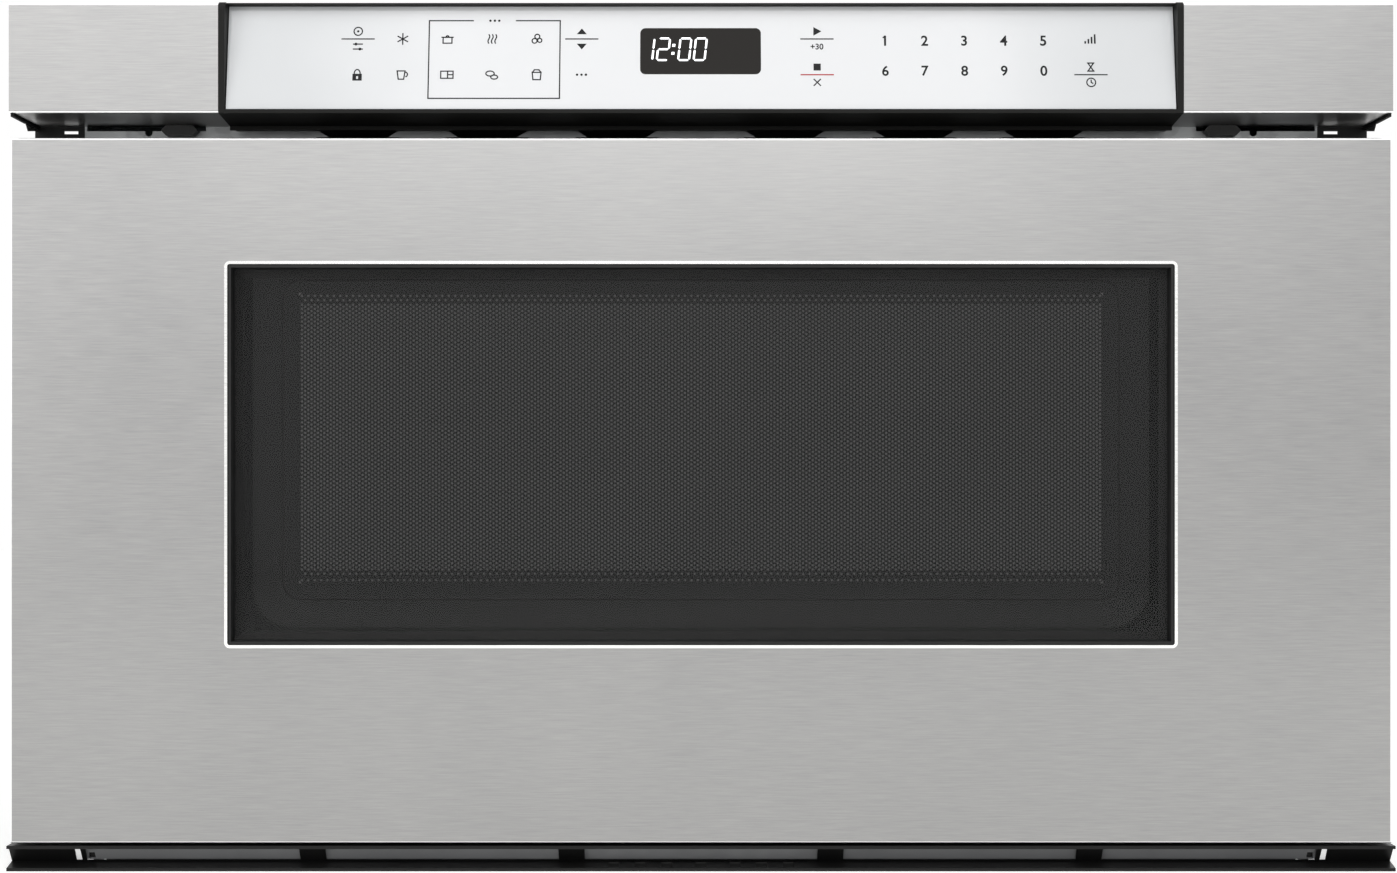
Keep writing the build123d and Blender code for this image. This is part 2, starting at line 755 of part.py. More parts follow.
mag_width = 90.0
mag_depth = 72.0
mag_height = 62.0
mag_fins = 8
with BuildPart() as magnetron:
    with BuildSketch(Plane.XY.offset(wave_bottom - 2)):
        with Locations((0, magnetron_y)):
            Rectangle(mag_width, mag_depth)
    extrude(amount=2)
    with BuildSketch(Plane.XY.offset(wave_bottom - mag_height)):
        with Locations((0, magnetron_y)):
            Rectangle(mag_width, mag_depth)
            Rectangle(mag_width - 4, mag_depth, mode=Mode.SUBTRACT)
            RegularPolygon(19, 12)
    extrude(amount=mag_height - 2)
    with BuildSketch(Plane.XY.offset(wave_bottom - mag_height)):
        with Locations((0, magnetron_y)):
            Rectangle(mag_width, mag_depth)
    extrude(amount=2)
    for fin in range(mag_fins):
        with BuildSketch(Plane.XY.offset(wave_bottom - mag_height + 9 + fin * 6)):
            with Locations((0, magnetron_y)):
                Rectangle(mag_width - 2, mag_depth - 6)
        extrude(amount=0.8)
    with BuildSketch(Plane.XY.offset(wave_bottom - mag_height - 26)):
        with Locations((0, magnetron_y)):
            Rectangle(46, 50)
    extrude(amount=26)
    with BuildSketch(Plane.XY.offset(wave_bottom)):
        with Locations((0, magnetron_y)):
            RegularPolygon(7.5, 16)
    extrude(amount=24)
    chamfer(magnetron.faces().sort_by(Axis.Z)[-1].edges(), 2.5)
finish(magnetron, "magnetron")

duct_half = vent_centres[-1] + vent_width / 2 + 7.0
duct_gap = 10.8
duct_back = stirrer_y - chamber_size / 2 - duct_gap
duct_low = wave_bottom
duct_high = section_bottom + 3
with BuildPart() as exhaust_duct:
    with BuildSketch(Plane.YZ.offset(-duct_half)):
        with BuildLine():
            Polyline(
                (y_inside, duct_low),
                (duct_back, duct_low),
                (duct_back, duct_low + 10),
                (y_inside + 22, duct_high),
                (y_inside, duct_high),
                close=True,
            )
        make_face()
    extrude(amount=2 * duct_half)
    with BuildSketch(Plane.YZ.offset(-duct_half + sheet)):
        with BuildLine():
            Polyline(
                (y_inside, duct_low + sheet),
                (duct_back - sheet, duct_low + sheet),
                (duct_back - sheet, duct_low + 9.2),
                (y_inside + 21.6, duct_high - sheet),
                (y_inside, duct_high - sheet),
                close=True,
            )
        make_face()
    extrude(amount=2 * (duct_half - sheet), mode=Mode.SUBTRACT)
finish(exhaust_duct, "exhaust_duct")

lamp_y = y_inside + cavity_depth / 3
lamp_z = cavity_top - 30
with BuildPart() as cavity_lamp:
    with BuildSketch(Plane.YZ.offset(cavity_width / 2 + sheet)):
        with Locations((lamp_y, lamp_z)):
            Rectangle(40, 26)
    extrude(amount=14)
    with BuildSketch(Plane.YZ.offset(cavity_width / 2 + sheet + 14)):
        with Locations((lamp_y - 8, lamp_z), (lamp_y + 8, lamp_z)):
            Rectangle(6, 0.8)
    extrude(amount=7)
finish(cavity_lamp, "cavity_lamp")

# ================================================================ power and cooling
core_x = 90.5 - side_inside
core_y = y_bay + 66.0
core_width = 90.0
core_depth = 62.0
core_height = 66.0
coil_width = 62.0
with BuildPart() as transformer:
    with BuildSketch(Plane.XY.offset(floor_top)):
        with Locations((core_x, core_y)):
            Rectangle(core_width + 14, core_depth + 8)
    extrude(amount=2)
    with BuildSketch(Plane.XY.offset(floor_top + 2)):
        with Locations((core_x, core_y)):
            Rectangle(core_width, core_depth)
    extrude(amount=core_height)
    for coil_z, coil_height in ((floor_top + 14, 22), (floor_top + 40, 14)):
        with BuildSketch(Plane.XY.offset(coil_z)) as transformer_coil:
            with Locations((core_x, core_y)):
                Rectangle(coil_width, core_depth + 36)
                chamfer(transformer_coil.vertices(), 12)
        extrude(amount=coil_height)
finish(transformer, "transformer")

can_x = core_x + core_width / 2 + 58.0
can_y = core_y + 7.0
can_height = 96.0
with BuildPart() as capacitor:
    with BuildSketch(Plane.XY.offset(floor_top)):
        with Locations((can_x, can_y)):
            SlotOverall(54, 34)
    extrude(amount=can_height)
    with BuildSketch(Plane.XY.offset(floor_top + can_height)):
        with Locations((can_x - 11, can_y), (can_x + 11, can_y)):
            Rectangle(6, 0.8)
    extrude(amount=10)
finish(capacitor, "capacitor")

filter_width = 96.0
filter_height = 54.0
filter_margin = 40.5
filter_x = filter_width / 2 + filter_margin - side_inside
filter_z = body_top - 34.0
standoff = 8.0
with BuildPart() as noise_filter_board:
    with BuildSketch(upright(y_back_inside)):
        with Locations((filter_x, filter_z)):
            with GridLocations(filter_width - 16, filter_height - 14, 2, 2):
                RegularPolygon(3.2, 6)
    extrude(amount=standoff)
    with BuildSketch(upright(y_back_inside - standoff)):
        with Locations((filter_x, filter_z)):
            Rectangle(filter_width, filter_height)
    extrude(amount=board_thickness)
    with BuildSketch(upright(y_back_inside - standoff - board_thickness)):
        with Locations((filter_x - 22, filter_z)):
            RegularPolygon(15, 12)
        with Locations((filter_x + 18, filter_z + 6)):
            Rectangle(34, 16)
    extrude(amount=20)
finish(noise_filter_board, "noise_filter_board")

y_fan_front = y_back_inside - fan_length
strut_depth = 3.0
fan_motor_length = 22.0
fan_motor_radius = 21.0
fan_shaft_radius = 2.5
with BuildPart() as fan_shroud:
    with BuildSketch(upright(y_back_inside)):
        with Locations((fan_x, fan_z)):
            Rectangle(fan_frame_width, fan_frame_width)
            Circle(fan_bore_radius, mode=Mode.SUBTRACT)
            with GridLocations(fan_frame_width - 14, fan_frame_width - 14, 2, 2):
                RegularPolygon(2.2, 6, mode=Mode.SUBTRACT)
    extrude(amount=fan_length)
    with BuildSketch(upright(y_fan_front)):
        with Locations((fan_x, fan_z)):
            with PolarLocations((fan_motor_radius + fan_frame_width / 2) / 2, 3, start_angle=90):
                Rectangle(fan_frame_width / 2 - fan_motor_radius, 7)
            RegularPolygon(fan_motor_radius + 2, 16)
            RegularPolygon(fan_shaft_radius + 3, 12, mode=Mode.SUBTRACT)
    extrude(amount=strut_depth)
finish(fan_shroud, "fan_shroud")

with BuildPart() as fan_motor:
    with BuildSketch(upright(y_fan_front - strut_depth)):
        with Locations((fan_x, fan_z)):
            RegularPolygon(fan_motor_radius, 16)
    extrude(amount=fan_motor_length)
    chamfer(fan_motor.faces().sort_by(Axis.Y)[0].edges(), 2)
    with BuildSketch(upright(y_fan_front - strut_depth)):
        with Locations((fan_x, fan_z)):
            Circle(fan_shaft_radius + shaft_clearance)
    extrude(amount=fan_motor_length - 5, mode=Mode.SUBTRACT)
finish(fan_motor, "fan_motor")

hub_radius = 18.0
hub_length = 16.0
blade_reach = fan_bore_radius - 2.0
blade_pitch = 52.0
y_hub = y_fan_front + 4.0
with BuildPart() as fan_impeller:
    with BuildSketch(upright(y_hub)):
        with Locations((fan_x, fan_z)):
            RegularPolygon(hub_radius, 2 * fan_blades)
    extrude(amount=-hub_length)
    chamfer(fan_impeller.faces().sort_by(Axis.Y)[-1].edges(), 3)
    with BuildSketch(upright(y_hub)):
        with Locations((fan_x, fan_z)):
            Circle(fan_shaft_radius)
    extrude(amount=4 + strut_depth + fan_motor_length - 7)
    for blade in range(fan_blades):
        turn = 360 / fan_blades * blade
        root_plane = (
            Plane(origin=(fan_x, y_hub + hub_length / 2, fan_z), x_dir=(0, 1, 0), z_dir=(0, 0, 1))
            .rotated((0, turn, 0))
        )
        with BuildSketch(root_plane.offset(hub_radius - 2)):
            Rectangle(13, 1.6, rotation=blade_pitch)
        with BuildSketch(root_plane.offset(blade_reach)):
            Rectangle(17, 1.6, rotation=blade_pitch)
        loft()
finish(fan_impeller, "fan_impeller")

# ================================================================ interlocks
hook_thickness = 3.0
hook_height = 20.0
hook_end_y = y_face + 30.0
with BuildPart() as latch_hooks:
    for side in (-1, 1):
        with BuildSketch(Plane.YZ.offset(side * (hook_x - hook_thickness / 2))):
            with BuildLine():
                Polyline(
                    (y_door_back, hook_z - hook_height / 2 - 8),
                    (y_door_back, hook_z + hook_height / 2 + 8),
                    (y_door_back + 8, hook_z + hook_height / 2),
                    (hook_end_y - 10, hook_z + hook_height / 2),
                    (hook_end_y, hook_z + 2),
                    (hook_end_y - 3, hook_z - hook_height / 2),
                    (hook_end_y - 12, hook_z - hook_height / 2),
                    (hook_end_y - 12, hook_z - 2),
                    (y_face - 4, hook_z - 2),
                    (y_door_back + 10, hook_z - hook_height / 2),
                    close=True,
                )
            make_face()
        extrude(amount=side * hook_thickness)
finish(latch_hooks, "latch_hooks")

plate_x = hook_x - hook_thickness / 2 - 4.2
bracket_reach = 42.0
bracket_sheet = 1.2
switch_thickness = 10.0
switch_width = 28.0
switch_height = 16.0
plunger_radius = 1.2
plunger_gap = 0.3
plunger_y = hook_end_y - 8.0
switches = [(-1, 12.0, 6.5), (-1, -12.0, -6.5), (1, 0.0, 0.0)]
with BuildPart() as interlock_brackets:
    for side in (-1, 1):
        with BuildSketch(upright(y_inside)):
            with Locations((side * (plate_x - 9), hook_z)):
                Rectangle(20, 56)
        extrude(amount=-bracket_sheet)
        with BuildSketch(Plane.YZ.offset(side * plate_x)):
            with Locations((y_inside + bracket_reach / 2, hook_z)):
                Rectangle(bracket_reach, 56)
            for where, height, press in switches:
                if where == side:
                    with Locations((plunger_y, hook_z + press)):
                        RegularPolygon(plunger_radius + plunger_gap, 8, mode=Mode.SUBTRACT)
        extrude(amount=side * bracket_sheet)
finish(interlock_brackets, "interlock_brackets")

with BuildPart() as interlock_switches:
    for side, height, press in switches:
        with BuildSketch(Plane.YZ.offset(side * plate_x)):
            with Locations((y_inside + 24, hook_z + height)):
                Rectangle(switch_width, switch_height)
        extrude(amount=-side * switch_thickness)
        with BuildSketch(Plane.YZ.offset(side * (plate_x - switch_thickness))):
            with Locations((y_inside + 24, hook_z + height)):
                with GridLocations(9, 0, 3, 1):
                    Rectangle(1, 5)
        extrude(amount=-side * 6)
        with BuildSketch(Plane.YZ.offset(side * plate_x)):
            with Locations((plunger_y, hook_z + press)):
                RegularPolygon(plunger_radius, 8)
        extrude(amount=side * (hook_x - hook_thickness / 2 - plunger_gap - plate_x))
finish(interlock_switches, "interlock_switches")

# ================================================================ drawer front
with BuildPart() as drawer_skin:
    with BuildSketch(upright(y_front)):
        with Locations((0, drawer_bottom + drawer_height / 2)):
            Rectangle(drawer_width, drawer_height)
    extrude(amount=-skin_depth)
    fillet(drawer_skin.faces().sort_by(Axis.Y)[0].edges(), skin_bend_radius)
    offset(amount=-sheet, openings=drawer_skin.faces().sort_by(Axis.Y)[-1])
    with BuildSketch(upright(y_front)):
        with Locations((0, window_centre_z)):
            RectangleRounded(window_width, window_height, window_corner)
    extrude(amount=-sheet, mode=Mode.SUBTRACT)
finish(drawer_skin, "drawer_skin")

bezel_width = window_width - 2 * trim_width
bezel_height = window_height - 2 * trim_width
with BuildPart() as window_trim:
    with BuildSketch(upright(y_front)):
        with Locations((0, window_centre_z)):
            RectangleRounded(window_width, window_height, window_corner)
            RectangleRounded(bezel_width, bezel_height, window_corner - trim_width, mode=Mode.SUBTRACT)
    extrude(amount=-trim_depth)
finish(window_trim, "window_trim")

mouth_width = bezel_width - 2 * bezel_lip
mouth_height = bezel_height - 2 * bezel_lip
pane_y = y_front + pane_setback
pane_back = pane_y + pane_thickness
screen_width = mouth_width - 2 * screen_side_margin
screen_height = mouth_height - screen_low_margin - screen_high_margin
screen_centre_z = window_centre_z + (screen_low_margin - screen_high_margin) / 2
screen_y = y_front + door_depth - door_sheet
y_bezel = y_front + bezel_setback

with BuildPart() as window_bezel:
    with BuildSketch(upright(y_bezel)):
        with Locations((0, window_centre_z)):
            RectangleRounded(bezel_width, bezel_height, window_corner - trim_width)
            Rectangle(mouth_width, mouth_height, mode=Mode.SUBTRACT)
    extrude(amount=-(screen_y - screen_sheet - y_bezel))
    with BuildSketch(upright(y_bezel)):
        with Locations((0, window_centre_z)):
            Rectangle(bezel_width, bezel_height)
            Rectangle(bezel_width - 2 * bezel_groove, bezel_height - 2 * bezel_groove, mode=Mode.SUBTRACT)
    extrude(amount=-bezel_groove_depth, mode=Mode.SUBTRACT)
    with BuildSketch(upright(pane_back)):
        with Locations((0, window_centre_z)):
            Rectangle(mouth_width, mouth_height)
            Rectangle(mouth_width - 2 * bezel_shelf, mouth_height - 2 * bezel_shelf, mode=Mode.SUBTRACT)
    extrude(amount=-(screen_y - screen_sheet - pane_back))
finish(window_bezel, "window_bezel")

with BuildPart() as window_glass:
    with BuildSketch(upright(pane_y)):
        with Locations((0, window_centre_z)):
            Rectangle(mouth_width - 2 * pane_gap, mouth_height - 2 * pane_gap)
    extrude(amount=-pane_thickness)
finish(window_glass, "window_glass")

with BuildPart() as window_screen:
    with BuildSketch(upright(screen_y)):
        with Locations((0, window_centre_z)):
            Rectangle(bezel_width, bezel_height)
    extrude(amount=screen_sheet)
    with BuildSketch(upright(screen_y - screen_sheet)):
        with Locations((0, screen_centre_z)):
            RectangleRounded(screen_width, screen_height, screen_corner)
    extrude(amount=screen_emboss, taper=30)
finish(window_screen, "window_screen")

frame_half_width = drawer_width / 2 - sheet - door_skin_gap
frame_bottom = drawer_bottom + sheet + door_skin_gap
frame_top = drawer_top - sheet - door_skin_gap
with BuildPart() as door_frame:
    with BuildSketch(upright(y_front + sheet)):
        with Locations((0, (frame_bottom + frame_top) / 2)):
            Rectangle(2 * frame_half_width, frame_top - frame_bottom)
    extrude(amount=-(door_depth - sheet))
    fillet(door_frame.edges().filter_by(Axis.Y), 3)
    offset(amount=-door_sheet, openings=door_frame.faces().sort_by(Axis.Y)[0])
    with BuildSketch(upright(screen_y)):
        with Locations((0, screen_centre_z)):
            Rectangle(
                screen_width - 2 * screen_frame_overlap, screen_height - 2 * screen_frame_overlap
            )
        for side in (-1, 1):
            with Locations((side * (frame_half_width - 38), cavity_mid_z - 60)):
                Rectangle(30, 70)
    extrude(amount=-door_sheet, mode=Mode.SUBTRACT)
finish(door_frame, "door_frame")

# ---------------------------------------------------------------- choke round the cavity mouth
choke_outer_width = cavity_width + 2 * choke_width
choke_outer_height = cavity_height + 2 * choke_width
choke_pitch = choke_finger + choke_slot
columns = int((cavity_width - choke_finger) // choke_pitch)
rows = int((cavity_height - choke_finger) // choke_pitch)
with BuildPart() as choke_ring:
    with BuildSketch(upright(y_door_back)):
        with Locations((0, cavity_mid_z)):
            Rectangle(choke_outer_width, choke_outer_height)
            Rectangle(cavity_width, cavity_height, mode=Mode.SUBTRACT)
    extrude(amount=-choke_depth)
    with BuildSketch(upright(y_door_back + choke_wall)):
        with Locations((0, cavity_mid_z)):
            Rectangle(choke_outer_width - 2 * choke_wall, choke_outer_height - 2 * choke_wall)
            Rectangle(cavity_width + 2 * choke_wall, cavity_height + 2 * choke_wall, mode=Mode.SUBTRACT)
    extrude(amount=-choke_depth, mode=Mode.SUBTRACT)
    slot_y = y_door_back + choke_depth - choke_slot_depth / 2
    with BuildSketch(Plane.XY.offset(cavity_bottom - choke_width)):
        with Locations((0, slot_y)):
            with GridLocations(choke_pitch, 0, columns, 1):
                Rectangle(choke_slot, choke_slot_depth)
    extrude(amount=choke_outer_height, mode=Mode.SUBTRACT)
    with BuildSketch(Plane.YZ.offset(-choke_outer_width / 2)):
        with Locations((slot_y, cavity_mid_z)):
            with GridLocations(0, choke_pitch, 1, rows):
                Rectangle(choke_slot_depth, choke_slot)
    extrude(amount=choke_outer_width, mode=Mode.SUBTRACT)
finish(choke_ring, "choke_ring")

with BuildPart() as choke_cover:
    with BuildSketch(upright(y_door_back + choke_depth)):
        with Locations((0, cavity_mid_z)):
            RectangleRounded(choke_outer_width, choke_outer_height, 6)
            Rectangle(cavity_width, cavity_height, mode=Mode.SUBTRACT)
    extrude(amount=-choke_cover_thickness)
    chamfer(choke_cover.faces().sort_by(Axis.Y)[-1].outer_wire().edges(), 1.0)
finish(choke_cover, "choke_cover")

# ---------------------------------------------------------------- tray
tray_depth = y_tray_back - y_door_back
with BuildPart() as tray_walls:
    with BuildSketch(Plane.XY.offset(tray_bottom)):
        with BuildLine():
            Polyline(
                (-tray_half, y_door_back),
                (-tray_half, y_tray_back),
                (tray_half, y_tray_back),
                (tray_half, y_door_back),
                (tray_half - tray_sheet, y_door_back),
                (tray_half - tray_sheet, y_tray_back - tray_sheet),
                (-tray_half + tray_sheet, y_tray_back - tray_sheet),
                (-tray_half + tray_sheet, y_door_back),
                close=True,
            )
        make_face()
    extrude(amount=tray_wall_height)
    with BuildSketch(Plane.XY.offset(tray_bottom + tray_wall_height - tray_sheet)):
        with Locations((0, y_door_back + (tray_depth + tray_lip) / 2)):
            Rectangle(2 * (tray_half + tray_lip), tray_depth + tray_lip)
        with Locations((0, y_door_back + (tray_depth - tray_sheet) / 2)):
            Rectangle(2 * (tray_half - tray_sheet), tray_depth - tray_sheet, mode=Mode.SUBTRACT)
    extrude(amount=tray_sheet)
    with BuildSketch(upright(y_tray_back)):
        with Locations((0, tray_bottom + tray_wall_height - 30)):
            with GridLocations(20, 0, 12, 1):
                Rectangle(14, 4)
    extrude(amount=tray_sheet, mode=Mode.SUBTRACT)
finish(tray_walls, "tray_walls")

tray_inner_half = tray_half - tray_sheet
with BuildPart() as tray_base:
    with BuildSketch(Plane.XY.offset(tray_bottom)):
        with Locations((0, y_door_back + (tray_depth - tray_sheet) / 2)):
            Rectangle(2 * tray_inner_half, tray_depth - tray_sheet)
    extrude(amount=tray_sheet)
finish(tray_base, "tray_base")

with BuildPart() as ceramic_plate:
    with BuildSketch(Plane.XY.offset(tray_bottom + tray_sheet)):
        with Locations((0, y_door_back + (tray_depth - tray_sheet) / 2)):
            RectangleRounded(
                2 * (tray_inner_half - plate_inset),
                tray_depth - tray_sheet - 2 * plate_inset,
                plate_corner,
            )
    extrude(amount=plate_thickness)
    chamfer(ceramic_plate.faces().sort_by(Axis.Z)[-1].edges(), 1.2)
finish(ceramic_plate, "ceramic_plate")

# ================================================================ telescopic rails


def rail_member(nest, y_start, length):
    """One channel of the right-hand rail; nest counts how deep it sits in the others."""
    step = rail_wall + rail_gap
    back_x = rail_outer_x - nest * step
    open_x = rail_outer_x - rail_reach + nest * (rail_wall + rail_gap)
    half = rail_height / 2 - nest * step
    low = rail_centre_z - half
    high = rail_centre_z + half
    with BuildPart() as member:
        with BuildSketch(upright(y_start)):
            with Locations(((back_x + open_x) / 2, rail_centre_z)):
                Rectangle(back_x - open_x, high - low)
            with Locations(((open_x + back_x) / 2, rail_centre_z)):
                Rectangle(back_x - open_x - 2 * rail_wall, high - low - 2 * rail_wall, mode=Mode.SUBTRACT)
            with Locations((open_x, rail_centre_z)):
                Rectangle(
                    4 * rail_wall, high - low - 2 * (rail_wall + rail_lip), mode=Mode.SUBTRACT
                )
        extrude(amount=-length)
    return member


outer_rail = rail_member(0, y_inside, rail_length)
finish_pair(outer_rail, "outer_rail")
middle_rail = rail_member(1, y_inside, rail_length - rail_shortening)
finish_pair(middle_rail, "middle_rail")
inner_rail = rail_member(2, y_door_back, y_inside + rail_length - inner_rail_shortening - y_door_back)
finish_pair(inner_rail, "inner_rail")

inner_back_x = rail_outer_x - 2 * (rail_wall + rail_gap)
inner_web_x = inner_back_x - rail_wall
arm_reach = y_face - 4 - y_door_back
rail_opening = rail_height - 4 * (rail_wall + rail_gap) - 2 * (rail_wall + rail_lip) - 1
with BuildPart() as rail_arm:
    with BuildSketch(upright(y_door_back)):
        with Locations((inner_web_x - arm_thickness - arm_width / 2, rail_centre_z)):
            Rectangle(arm_width, rail_opening)
    extrude(amount=-arm_thickness)
    with BuildSketch(Plane.YZ.offset(inner_web_x)):
        with BuildLine():
            Polyline(
                (y_door_back, rail_centre_z - rail_opening / 2),
                (y_door_back, rail_centre_z + rail_opening / 2),
                (y_door_back + arm_reach, rail_centre_z + rail_opening / 4),
                (y_door_back + arm_reach, rail_centre_z - rail_opening / 4),
                close=True,
            )
        make_face()
    extrude(amount=-arm_thickness)
finish_pair(rail_arm, "rail_arm")

# ================================================================ rack drive
tooth_pitch = math.pi * gear_module
dedendum = 1.25 * gear_module
flank_run = math.tan(math.radians(pressure_angle))
rack_half_tooth = tooth_pitch / 4 - gear_backlash / 2
teeth_ahead = int((pinion_y - y_door_back - 8) // tooth_pitch)
teeth_behind = int((rack_tail - pinion_y - 3) // tooth_pitch)
with BuildPart() as drive_rack:
    with BuildSketch(Plane.YZ.offset(-gear_width / 2)):
        with Locations(((y_door_back + rack_tail) / 2, (rack_top + pitch_line_z + dedendum) / 2)):
            Rectangle(rack_tail - y_door_back, rack_top - pitch_line_z - dedendum)
        for tooth in range(-teeth_ahead, teeth_behind + 1):
            centre = pinion_y + tooth * tooth_pitch
            with BuildLine():
                Polyline(
                    (centre - rack_half_tooth - dedendum * flank_run, pitch_line_z + dedendum),
                    (centre - rack_half_tooth + gear_module * flank_run, pitch_line_z - gear_module),
                    (centre + rack_half_tooth - gear_module * flank_run, pitch_line_z - gear_module),
                    (centre + rack_half_tooth + dedendum * flank_run, pitch_line_z + dedendum),
                    close=True,
                )
            make_face()
    extrude(amount=gear_width)
finish(drive_rack, "drive_rack")

base_radius = pitch_radius * math.cos(math.radians(pressure_angle))
tip_radius = pitch_radius + gear_module
root_radius = pitch_radius - dedendum
half_tooth_angle = tooth_pitch / 4 / pitch_radius - gear_backlash / 2 / pitch_radius
involute_at_pitch = math.tan(math.radians(pressure_angle)) - math.radians(pressure_angle)


def flank_angle(radius):
    """Half the tooth's angle at a radius: the involute of the base circle."""
    if radius <= base_radius:
        return half_tooth_angle + involute_at_pitch
    roll = math.acos(base_radius / radius)
    return half_tooth_angle + involute_at_pitch - (math.tan(roll) - roll)


def tooth_outline(centre_angle):
    """Points of one tooth, from its root to its tip and back."""
    radii = [root_radius - 0.5, base_radius, pitch_radius + 0.3, tip_radius]
    rising = [(r, centre_angle - flank_angle(r)) for r in radii]
    falling = [(r, centre_angle + flank_angle(r)) for r in reversed(radii)]
    return [(r * math.cos(a), r * math.sin(a)) for r, a in rising + falling]


# The pinion's gap, not its tooth, faces up at the rack's tooth over the axis.
gear_plane = Plane(origin=(-gear_width / 2, pinion_y, pinion_z), x_dir=(0, 1, 0), z_dir=(1, 0, 0))
gearbox_x = gear_width / 2 + 3.0
bearing_x = -gear_width / 2 - 3.0
shaft_into_box = 22.0
tooth_angle = 2 * math.pi / pinion_teeth
with BuildPart() as drive_pinion:
    with BuildSketch(gear_plane):
        RegularPolygon(root_radius, pinion_teeth, rotation=90 + 180 / pinion_teeth)
        for tooth in range(pinion_teeth):
            with BuildLine():
                Polyline(*tooth_outline((tooth + 0.5) * tooth_angle + math.pi / 2), close=True)
            make_face()
    extrude(amount=gear_width)
    with BuildSketch(gear_plane.offset(-9)):
        Circle(shaft_radius)
    extrude(amount=9 + gear_width + 3 + shaft_into_box)
    with BuildSketch(gear_plane.offset(-1.5)):
        Circle(8)
    extrude(amount=gear_width + 3)
finish(drive_pinion, "drive_pinion")

gearbox_radius = 24.0
with BuildPart() as drive_gearbox:
    with BuildSketch(Plane.YZ.offset(gearbox_x)):
        with Locations((pinion_y, pinion_z)):
            RegularPolygon(gearbox_radius, 20)
        with Locations((pinion_y + 24, pinion_z - 4)):
            RegularPolygon(18, 16)
        with Locations((pinion_y + 12, (floor_top + pinion_z) / 2)):
            Rectangle(54, pinion_z - floor_top)
    extrude(amount=gearbox_width)
    with BuildSketch(Plane.XY.offset(floor_top)):
        with Locations((gearbox_x + gearbox_width / 2, pinion_y + 12)):
            with Locations((0, 34), (0, 0)):
                Rectangle(gearbox_width - 6, 22)
    extrude(amount=3)
    with BuildSketch(Plane.YZ.offset(gearbox_x)):
        with Locations((pinion_y, pinion_z)):
            Circle(shaft_radius + shaft_clearance)
    extrude(amount=shaft_into_box + 2, mode=Mode.SUBTRACT)
finish(drive_gearbox, "drive_gearbox")

with BuildPart() as drive_motor:
    with BuildSketch(Plane.YZ.offset(gearbox_x + gearbox_width)):
        with Locations((pinion_y + 16, pinion_z - 2)):
            RegularPolygon(motor_radius, 20)
    extrude(amount=motor_length)
    chamfer(drive_motor.faces().sort_by(Axis.X)[-1].edges(), 2.5)
    with BuildSketch(Plane.YZ.offset(gearbox_x + gearbox_width + motor_length)):
        with Locations((pinion_y + 16, pinion_z - 2)):
            RegularPolygon(6, 12)
    extrude(amount=4)
finish(drive_motor, "drive_motor")

bearing_thickness = 4.0
with BuildPart() as pinion_bearing:
    with BuildSketch(Plane.YZ.offset(bearing_x - bearing_thickness)):
        with BuildLine():
            Line((pinion_y - 14, floor_top), (pinion_y - 9, pinion_z))
            ThreePointArc((pinion_y - 9, pinion_z), (pinion_y, pinion_z + 9), (pinion_y + 9, pinion_z))
            Line((pinion_y + 9, pinion_z), (pinion_y + 14, floor_top))
            Line((pinion_y + 14, floor_top), (pinion_y - 14, floor_top))
        make_face()
        with Locations((pinion_y, pinion_z)):
            Circle(shaft_radius + shaft_clearance, mode=Mode.SUBTRACT)
    extrude(amount=bearing_thickness)
    with BuildSketch(Plane.XY.offset(floor_top)):
        with Locations((bearing_x - bearing_thickness - 6, pinion_y)):
            Rectangle(14, 28)
    extrude(amount=2)
finish(pinion_bearing, "pinion_bearing")
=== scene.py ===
"""Looks of a built-in microwave drawer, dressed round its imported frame.

Lengths are metres in the frame's own axes: X to the right, -Y to the front, Z up. What is
finer than a sheet's thickness, such as grain, print and screws, is named in millimetres.
"""

import logging
import math
from collections.abc import Iterable, Sequence
from dataclasses import dataclass, field
from enum import Enum
from functools import partial, reduce
from typing import Any

import bpy
import numpy as np
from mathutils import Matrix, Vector


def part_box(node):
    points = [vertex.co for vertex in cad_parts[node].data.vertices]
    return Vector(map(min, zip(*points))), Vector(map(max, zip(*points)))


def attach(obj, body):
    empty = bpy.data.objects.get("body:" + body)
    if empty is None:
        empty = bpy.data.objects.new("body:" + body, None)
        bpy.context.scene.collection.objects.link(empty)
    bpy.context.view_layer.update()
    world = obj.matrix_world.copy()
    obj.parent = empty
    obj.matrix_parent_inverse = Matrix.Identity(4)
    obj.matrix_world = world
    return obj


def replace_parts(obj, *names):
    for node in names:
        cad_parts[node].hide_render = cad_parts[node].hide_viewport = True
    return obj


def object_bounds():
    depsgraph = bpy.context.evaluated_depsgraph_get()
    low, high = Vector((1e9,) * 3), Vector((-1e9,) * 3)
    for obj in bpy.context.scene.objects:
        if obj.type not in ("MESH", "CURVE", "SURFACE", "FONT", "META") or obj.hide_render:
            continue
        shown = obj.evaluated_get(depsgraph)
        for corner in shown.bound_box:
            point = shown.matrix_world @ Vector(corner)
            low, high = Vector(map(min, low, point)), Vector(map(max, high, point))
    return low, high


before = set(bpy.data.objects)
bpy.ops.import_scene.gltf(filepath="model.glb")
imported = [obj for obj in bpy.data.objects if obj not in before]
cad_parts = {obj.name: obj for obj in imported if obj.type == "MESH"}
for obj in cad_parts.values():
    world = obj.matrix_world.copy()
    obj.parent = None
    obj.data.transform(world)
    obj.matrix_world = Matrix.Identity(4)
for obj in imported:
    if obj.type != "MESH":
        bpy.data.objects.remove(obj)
cad_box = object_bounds()

